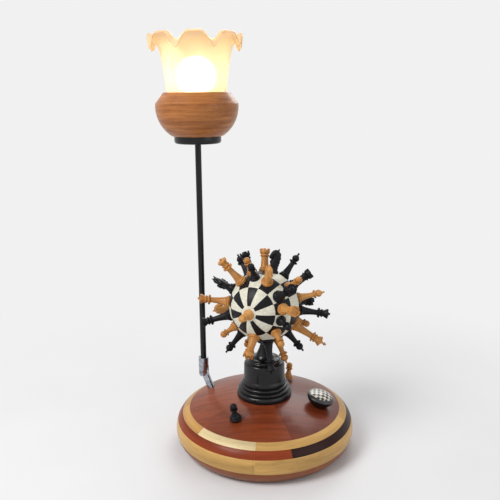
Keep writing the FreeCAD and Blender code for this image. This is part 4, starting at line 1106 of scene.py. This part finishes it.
def chequered_cap():
    """Black and white squares across the cap, white where two parities differ, with a black rim."""
    material, tree, shader = new_finish("knob_chequer", Roughness=0.32, Coat_Weight=0.4, Coat_Roughness=0.12)
    place = own_place(tree)
    centred = add(tree, "ShaderNodeMapping", {"Vector": place, "Location": tuple(-GRAIN_STEP * MM)})
    angled = add(tree, "ShaderNodeMapping", {"Vector": centred.outputs[0], "Rotation": (0, 0, CHEQUER_TURN)})
    x, y, _ = add(tree, "ShaderNodeSeparateXYZ", {0: angled.outputs[0]}).outputs
    odd_x, odd_y = parity(tree, x, 50.0), parity(tree, y, 50.5)
    odd = maths(tree, "ABSOLUTE", maths(tree, "SUBTRACT", odd_x, odd_y))
    out = from_axis(tree, x, y)
    white = maths(tree, "MULTIPLY", odd, maths(tree, "LESS_THAN", out, CHEQUER_REACH))
    cloud = add(tree, "ShaderNodeTexNoise", {"Vector": place, "Scale": 500.0, "Detail": 3.0})
    pale = ramp(tree, cloud.outputs[0], (0.3, linear(190, 184, 168)), (0.7, linear(216, 210, 194)))
    tree.links.new(mixed(tree, white, linear(22, 20, 24), pale), shader.inputs["Base Color"])
    bumped(tree, shader, cloud.outputs[0], 0.0001, 0.3)
    return material


piece("knob_cap_chequered", [(on_dome(*KNOB), lathe(cap_profile, 112))], "knob", chequered_cap(),
      ["knob_cap"])

# %% [markdown]
# Pawn buttons
#
# Two pawns stand on plungers as push buttons: the dark one lights the lamp, the light one
# starts the motor. A button pawn is the ball's pawn on a wider foot. It is hollowed underneath,
# as the real one is, to clear the nut that holds the switch, and bored for its plunger.

# %% Pawn buttons
button_base, button_lift = 9.0, 2.3
hollow_radius, hollow_depth, plunger_bore, bore_depth = 5.9, 1.9, 1.6, 5.6
button_profile = joined([(0.02, bore_depth), (plunger_bore, bore_depth), (plunger_bore, hollow_depth),
                         (hollow_radius, hollow_depth), (hollow_radius, 0.0), (button_base - 0.5, 0.0),
                         (button_base - 0.1, 0.2)], pawn_profile(button_base)[2:])
for name, azimuth, circle, finish, body, slot in (
        ("dark_pawn_button", -121.6, 84.1, ebonised, "lamp_button", "dark_chess"),
        ("light_pawn_button", 55.4, 71.6, boxwood, "motor_button", "light_chess")):
    place = on_dome(azimuth, circle) @ shift(z=button_lift)
    skin = lathe(button_profile, PIECE_COLUMNS)
    piece(name + "_turned", [(place, skin)], body, finish, [name], crisp=45)

# %% [markdown]
# Arm
#
# A chrome stub leans out through the dome and ends in a flat tongue. A chrome ferrule with a
# forked foot hinges on it by a cross screw, and the black rod stands in the ferrule. The stub
# and the ferrule keep their frame solids, whose flats and slot are right; they only get their
# chrome. The rod is an enamelled tube, turned again with an eased rim, and the plate on top of
# it is a black turned disc that carries the cup.

# %% Rod and plate
rod_low, rod_high = span("arm_rod")
plate_low, plate_high = span("head_plate")
rod_radius = (rod_high[0] - rod_low[0]) / 2
rod_bore, rod_ease = 3.2, 0.4
rod_profile = [(rod_radius, rod_low[2]), (rod_radius, plate_low[2] + 1), (rod_radius, rod_high[2] - rod_ease),
               (rod_radius - rod_ease, rod_high[2]), (rod_bore, rod_high[2]), (rod_bore, rod_low[2]),
               (rod_radius, rod_low[2])]
piece("arm_rod_enamelled", [(ALONG_ROD, lathe(rod_profile, 64))], "arm", black_enamel, ["arm_rod"])
plate_radius = (plate_high[0] - plate_low[0]) / 2
plate_profile = joined([(4.8, plate_low[2])],
                       arc((plate_radius - 4.0, plate_low[2] + 4.0), 4.0, -90, 0, 8),
                       eased([(plate_radius, plate_low[2] + 6), (plate_radius, plate_high[2] - 0.02),
                              (plate_radius - 0.6, plate_high[2])], 0.5),
                       [(4.8, plate_high[2]), (4.8, plate_low[2])])
piece("head_plate_turned", [(ALONG_ROD, lathe(plate_profile, 128))], "arm", black_lacquer, ["head_plate"])

# %% [markdown]
# Turned cup
#
# The bowl is one arc from the plate up to its widest line, then a crisp edge and a straight
# bevel up to the mouth. Inside, a ledge carries the glass, and the bore goes down past the
# lampholder.

# %% Cup
cup_low, cup_high = span("wood_cup")
widest = (cup_high[0] - cup_low[0]) / 2
start, passing, end = np.array([39.0, 0.0]), np.array([54.6, 16.0]), np.array([widest, 48.0])


def circle_through(a, b, c):
    """Centre and radius of the circle through three points, from the two chords' bisectors."""
    rows = 2 * np.array([b - a, c - a])
    centre = np.linalg.solve(rows, np.array([b @ b - a @ a, c @ c - a @ a]))
    return centre, float(np.hypot(*(a - centre)))


bowl_centre, bowl_radius = circle_through(start, passing, end)
bowl_angles = [math.degrees(math.atan2(*(p - bowl_centre)[::-1])) for p in (start, end)]
bowl = arc(bowl_centre, bowl_radius, bowl_angles[0], bowl_angles[1], 26)
cup_profile = joined([(4.9, 0.0), (38.6, 0.0)], bowl[1:-1],
                     eased([bowl[-1], (50.4, 64.0), (50.0, 64.4), (46.9, 64.4), (46.4, 64.0)], 0.5, 3),
                     [(46.4, 51.4), (41.5, 51.4), (41.5, 26.4), (26.0, 9.5), (4.9, 9.5), (4.9, 0.0)])
cup_profile[:, 1] += cup_low[2]
piece("wood_cup_turned", [(ALONG_ROD, lathe(cup_profile, 160))], "arm", cup_finish, ["wood_cup"],
      crisp=28)

# %% [markdown]
# Ruffled shade
#
# The glass is blown, then its lip is crimped into eight lobes while hot. The surface is a
# function of angle and of the way up the wall: below, a plain flared tube; above, a mix of two
# meridians, one that rises in a lobe and one that droops between two. The mix is the cosine of
# eight times the angle, flattened so that lobes are broad and dips narrow. The wall's inner
# side is the same surface moved inwards along its normal, and a rounded lip joins the two.
# Pushing a mesh about by hand could give the same look, but not the same lobe eight times.

# %% Shade
LOBES, FRONT_LOBE, WALL = 8, -86.6, 2.6
BODY = [(44.4, 0.0), (45.1, 14.0), (47.2, 34.0), (49.6, 52.0), (52.3, 66.0)]
LOBE = [(54.4, 74.0), (56.4, 80.2), (58.8, 86.0), (61.4, 90.6), (64.2, 93.6), (66.6, 94.4), (68.4, 93.2)]
DIP = [(54.4, 72.0), (56.0, 76.0), (58.4, 79.6), (61.4, 81.8), (64.8, 81.8), (67.8, 78.8), (69.4, 73.4)]
shade_foot = span("glass_shade")[0][2]


def shade_skin(columns=280, rows=64):
    """Outer wall up, lip over, inner wall down: rings that close into a loop.
    The weight of the lobe is one less the cube of one less the wave, a cosine from 0 to 1."""
    angle = np.radians(np.linspace(0, 360, columns, endpoint=False))
    wave = 0.5 + 0.5 * np.cos(LOBES * (angle - math.radians(FRONT_LOBE)))
    weight = (1 - (1 - wave) ** 3)[None, :, None]
    lobe, dip = (spline(BODY + tip, rows)[:, None] for tip in (LOBE, DIP))
    outer = dip + weight * (lobe - dip)
    flow = np.gradient(outer, axis=0)
    flow /= np.linalg.norm(flow, axis=2)[..., None]
    inner = outer + WALL * np.stack([-flow[..., 1], flow[..., 0]], -1)
    inner[0, :, 1] = outer[0, :, 1]
    lip = [outer[-1] * (1 - share) + inner[-1] * share + flow[-1] * WALL * reach
           for share, reach in ((0.15, 0.3), (0.5, 0.42), (0.85, 0.3))]
    line = np.concatenate([outer, lip, inner[::-1]])
    radius, height = line[..., 0], line[..., 1] + shade_foot
    return closed_skin(np.stack([radius * np.cos(angle), radius * np.sin(angle), height], -1), loop=True)


piece("glass_shade_ruffled", [(ALONG_ROD, shade_skin())], "arm", shade_glass, ["glass_shade"],
      crisp=80)

# %% [markdown]
# Bulb
#
# The bulb shows only as a glow through the glass, but it is the light in the shade, so it is a
# piece of its own: a ball of thin glass that narrows to its neck, lathed in one profile. Its
# bright finish lights the shade and the cup's mouth, and no lamp object stands in for it.

# %% Bulb
neck_height = span("bulb_glass")[0][2]
bulb_profile = joined([(0.02, neck_height), (13.2, neck_height), (13.4, neck_height + 1.0)],
                      sagged((13.6, neck_height + 2), (24.6, 549.6), -0.8, 8),
                      arc((0, bulb_height), 30.0, -34, 88, 24))
piece("bulb_glass_blown", [(ALONG_ROD, lathe(bulb_profile, 96))], "arm", bulb_glass, ["bulb_glass"])

# %% [markdown]
# Frame pieces that stay
#
# Hidden and small solids keep their frame meshes and only get a finish: screws, nuts, the
# motor, the lampholder and the chrome of the knuckle. Their flats and edges are right as they
# are, and a table from node to finish is easier to check than a line for each.

# %% Finishes for frame nodes
KEPT = {
    "felt_pad": felt, "base_cover_plate": plywood, "cover_screws": zinc, "cord_gland": black_plastic,
    "cord_gland_nut": black_plastic, "pedestal_screws": zinc, "motor_foot": zinc, "motor_screws": zinc,
    "motor_can": zinc, "gearbox": zinc, "output_shaft": steel, "coupler": steel,
    "coupler_grub_screws": steel, "spindle": steel, "spindle_bush": brass, "thrust_washer": brass,
    "dimmer_case": black_plastic, "dimmer_nut": zinc, "dimmer_shaft": steel,
    "lamp_switch": black_plastic, "motor_switch": black_plastic, "switch_nuts": zinc,
    "lamp_plunger": steel, "motor_plunger": steel, "arm_stub": chrome, "arm_block": plywood,
    "arm_washer_and_nut": zinc, "knuckle_ferrule": chrome, "knuckle_screw": chrome,
    "lampholder": ceramic, "bulb_cap": zinc,
}
for name, finish in KEPT.items():
    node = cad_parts[name]
    if node.material_slots:
        for material_slot in node.material_slots:
            material_slot.material = finish
    else:
        node.data.materials.append(finish)
shown = [name for name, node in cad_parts.items() if not node.hide_render]
print("kept and finished:", len(KEPT), "left without a finish:", sorted(set(shown) - set(KEPT)))

# %% [markdown]
# Camera
#
# The camera stands where the photographer's did: a little left of the lamp and above it,
# looking slightly down and turned by less than half a degree. Its lens is worked out from a
# focal length in pixels, which is what the ellipses of the base's rings give.

# %% Camera
CAMERA_PLACE = (-0.0210, -0.943, 0.540)
CAMERA_PITCH = 13.55
CAMERA_ROLL = -0.45
FRAME_PIXELS, FOCAL_PIXELS, SENSOR = 500, 645.0, 36.0
camera = bpy.data.objects.new("camera", bpy.data.cameras.new("camera"))
camera.data.sensor_width = SENSOR
camera.data.lens = FOCAL_PIXELS * SENSOR / FRAME_PIXELS
camera.location = CAMERA_PLACE
pitched = Matrix.Rotation(math.radians(90 - CAMERA_PITCH), 3, "X")
tilted = pitched @ Matrix.Rotation(math.radians(CAMERA_ROLL), 3, "Z")
camera.rotation_euler = tilted.to_euler()
bpy.context.scene.collection.objects.link(camera)
bpy.context.scene.camera = camera
print("lens", round(camera.data.lens, 2), "mm")

# %% [markdown]
# Floor
#
# The floor is one pale plane that takes the lamp's shadow. Away from the lamp it fades into
# the backdrop's own brightness, for the rays that are looked at, so no horizon shows. For all
# other rays it stays a plain floor that throws light back up.

# %% Floor
FLOOR_HALF, FLOOR_DROP = 4.0, -0.0003
BACKDROP = 0.88
FADE_START, FADE_END = 0.2, 0.85
floor_corners = [(x * FLOOR_HALF, y * FLOOR_HALF, FLOOR_DROP)
                 for x, y in ((-1, -1), (1, -1), (1, 1), (-1, 1))]
floor_mesh = bpy.data.meshes.new("floor")
floor_mesh.from_pydata(floor_corners, [], [(0, 1, 2, 3)])
floor = bpy.data.objects.new("floor", floor_mesh)
bpy.context.scene.collection.objects.link(floor)


def looked_at(tree):
    """1 for the rays that show the backdrop: the camera's, and those mirrored or let through."""
    rays = tree.nodes.new("ShaderNodeLightPath").outputs
    return maths(tree, "MAXIMUM", rays["Is Camera Ray"],
                 maths(tree, "MAXIMUM", rays["Is Glossy Ray"], rays["Is Transmission Ray"]))


def floor_finish():
    """Pale floor mixed with a plain glow by distance from the lamp, a smooth step between two circles."""
    material, tree, shader = new_finish("floor_pale", Roughness=0.75, Specular_IOR_Level=0.2)
    place = object_place(tree)
    cloud = add(tree, "ShaderNodeTexNoise", {"Vector": place, "Scale": 6.0, "Detail": 3.0})
    tint = ramp(tree, cloud.outputs[0], (0.2, linear(228, 228, 230)), (0.8, linear(233, 233, 234)))
    tree.links.new(tint, shader.inputs["Base Color"])
    away = add(tree, "ShaderNodeVectorMath", {0: place}, operation="LENGTH").outputs["Value"]
    far = add(tree, "ShaderNodeMapRange", {0: away, 1: FADE_START, 2: FADE_END},
              interpolation_type="SMOOTHSTEP")
    haze = add(tree, "ShaderNodeEmission", {"Color": (1, 1, 1, 1), "Strength": BACKDROP})
    share = maths(tree, "MULTIPLY", far.outputs[0], looked_at(tree))
    faded = add(tree, "ShaderNodeMixShader", {0: share, 1: shader.outputs[0], 2: haze.outputs[0]})
    tree.links.new(faded.outputs[0], tree.nodes["Material Output"].inputs["Surface"])
    return material


floor_mesh.materials.append(floor_finish())
print("the floor fades between", FADE_START, "and", FADE_END, "m")

# %% [markdown]
# Light
#
# Three soft area lights, as in a small studio: a strong one from the left front gives the
# shapes their shading, a wide weak one from the right opens the shadows, and one behind gives
# the black wood its edge. Wide lights make soft shadows, and the lamp's own bulb adds the rest.

# %% Lights
def soft_light(name, place, aim, size, power):
    """Square area light that looks at a point."""
    data = bpy.data.lights.new(name, "AREA")
    data.size, data.energy = size, power
    lamp = bpy.data.objects.new(name, data)
    lamp.location = place
    direction = Vector(aim) - lamp.location
    lamp.rotation_euler = direction.to_track_quat("-Z", "Y").to_euler()
    bpy.context.scene.collection.objects.link(lamp)


soft_light("key_light", (-1.2, -0.9, 1.7), (0, 0, 0.25), 0.9, 30.0)
soft_light("fill_light", (1.5, -1.0, 1.0), (0, 0, 0.25), 1.4, 6.0)
soft_light("back_light", (0.3, 1.5, 1.4), (0, 0, 0.3), 1.2, 14.0)
print("lights:", [light.name for light in bpy.data.lights])

# %% [markdown]
# World
#
# The world is plain white in two strengths: bright where it is looked at, as the backdrop, and
# weaker as the light that fills the room, so that the shadows keep their depth.

# %% World
ROOM = 0.40
world = bpy.data.worlds.new("studio")
bpy.context.scene.world = world
world.use_nodes = True
world_tree = world.node_tree
background = world_tree.nodes["Background"]
background.inputs["Color"].default_value = (1.0, 1.0, 1.0, 1.0)
strength = maths(world_tree, "MULTIPLY_ADD", looked_at(world_tree), BACKDROP - ROOM, ROOM)
world_tree.links.new(strength, background.inputs["Strength"])
bpy.context.scene.view_settings.view_transform = "Standard"
print("backdrop", BACKDROP, "room", ROOM)
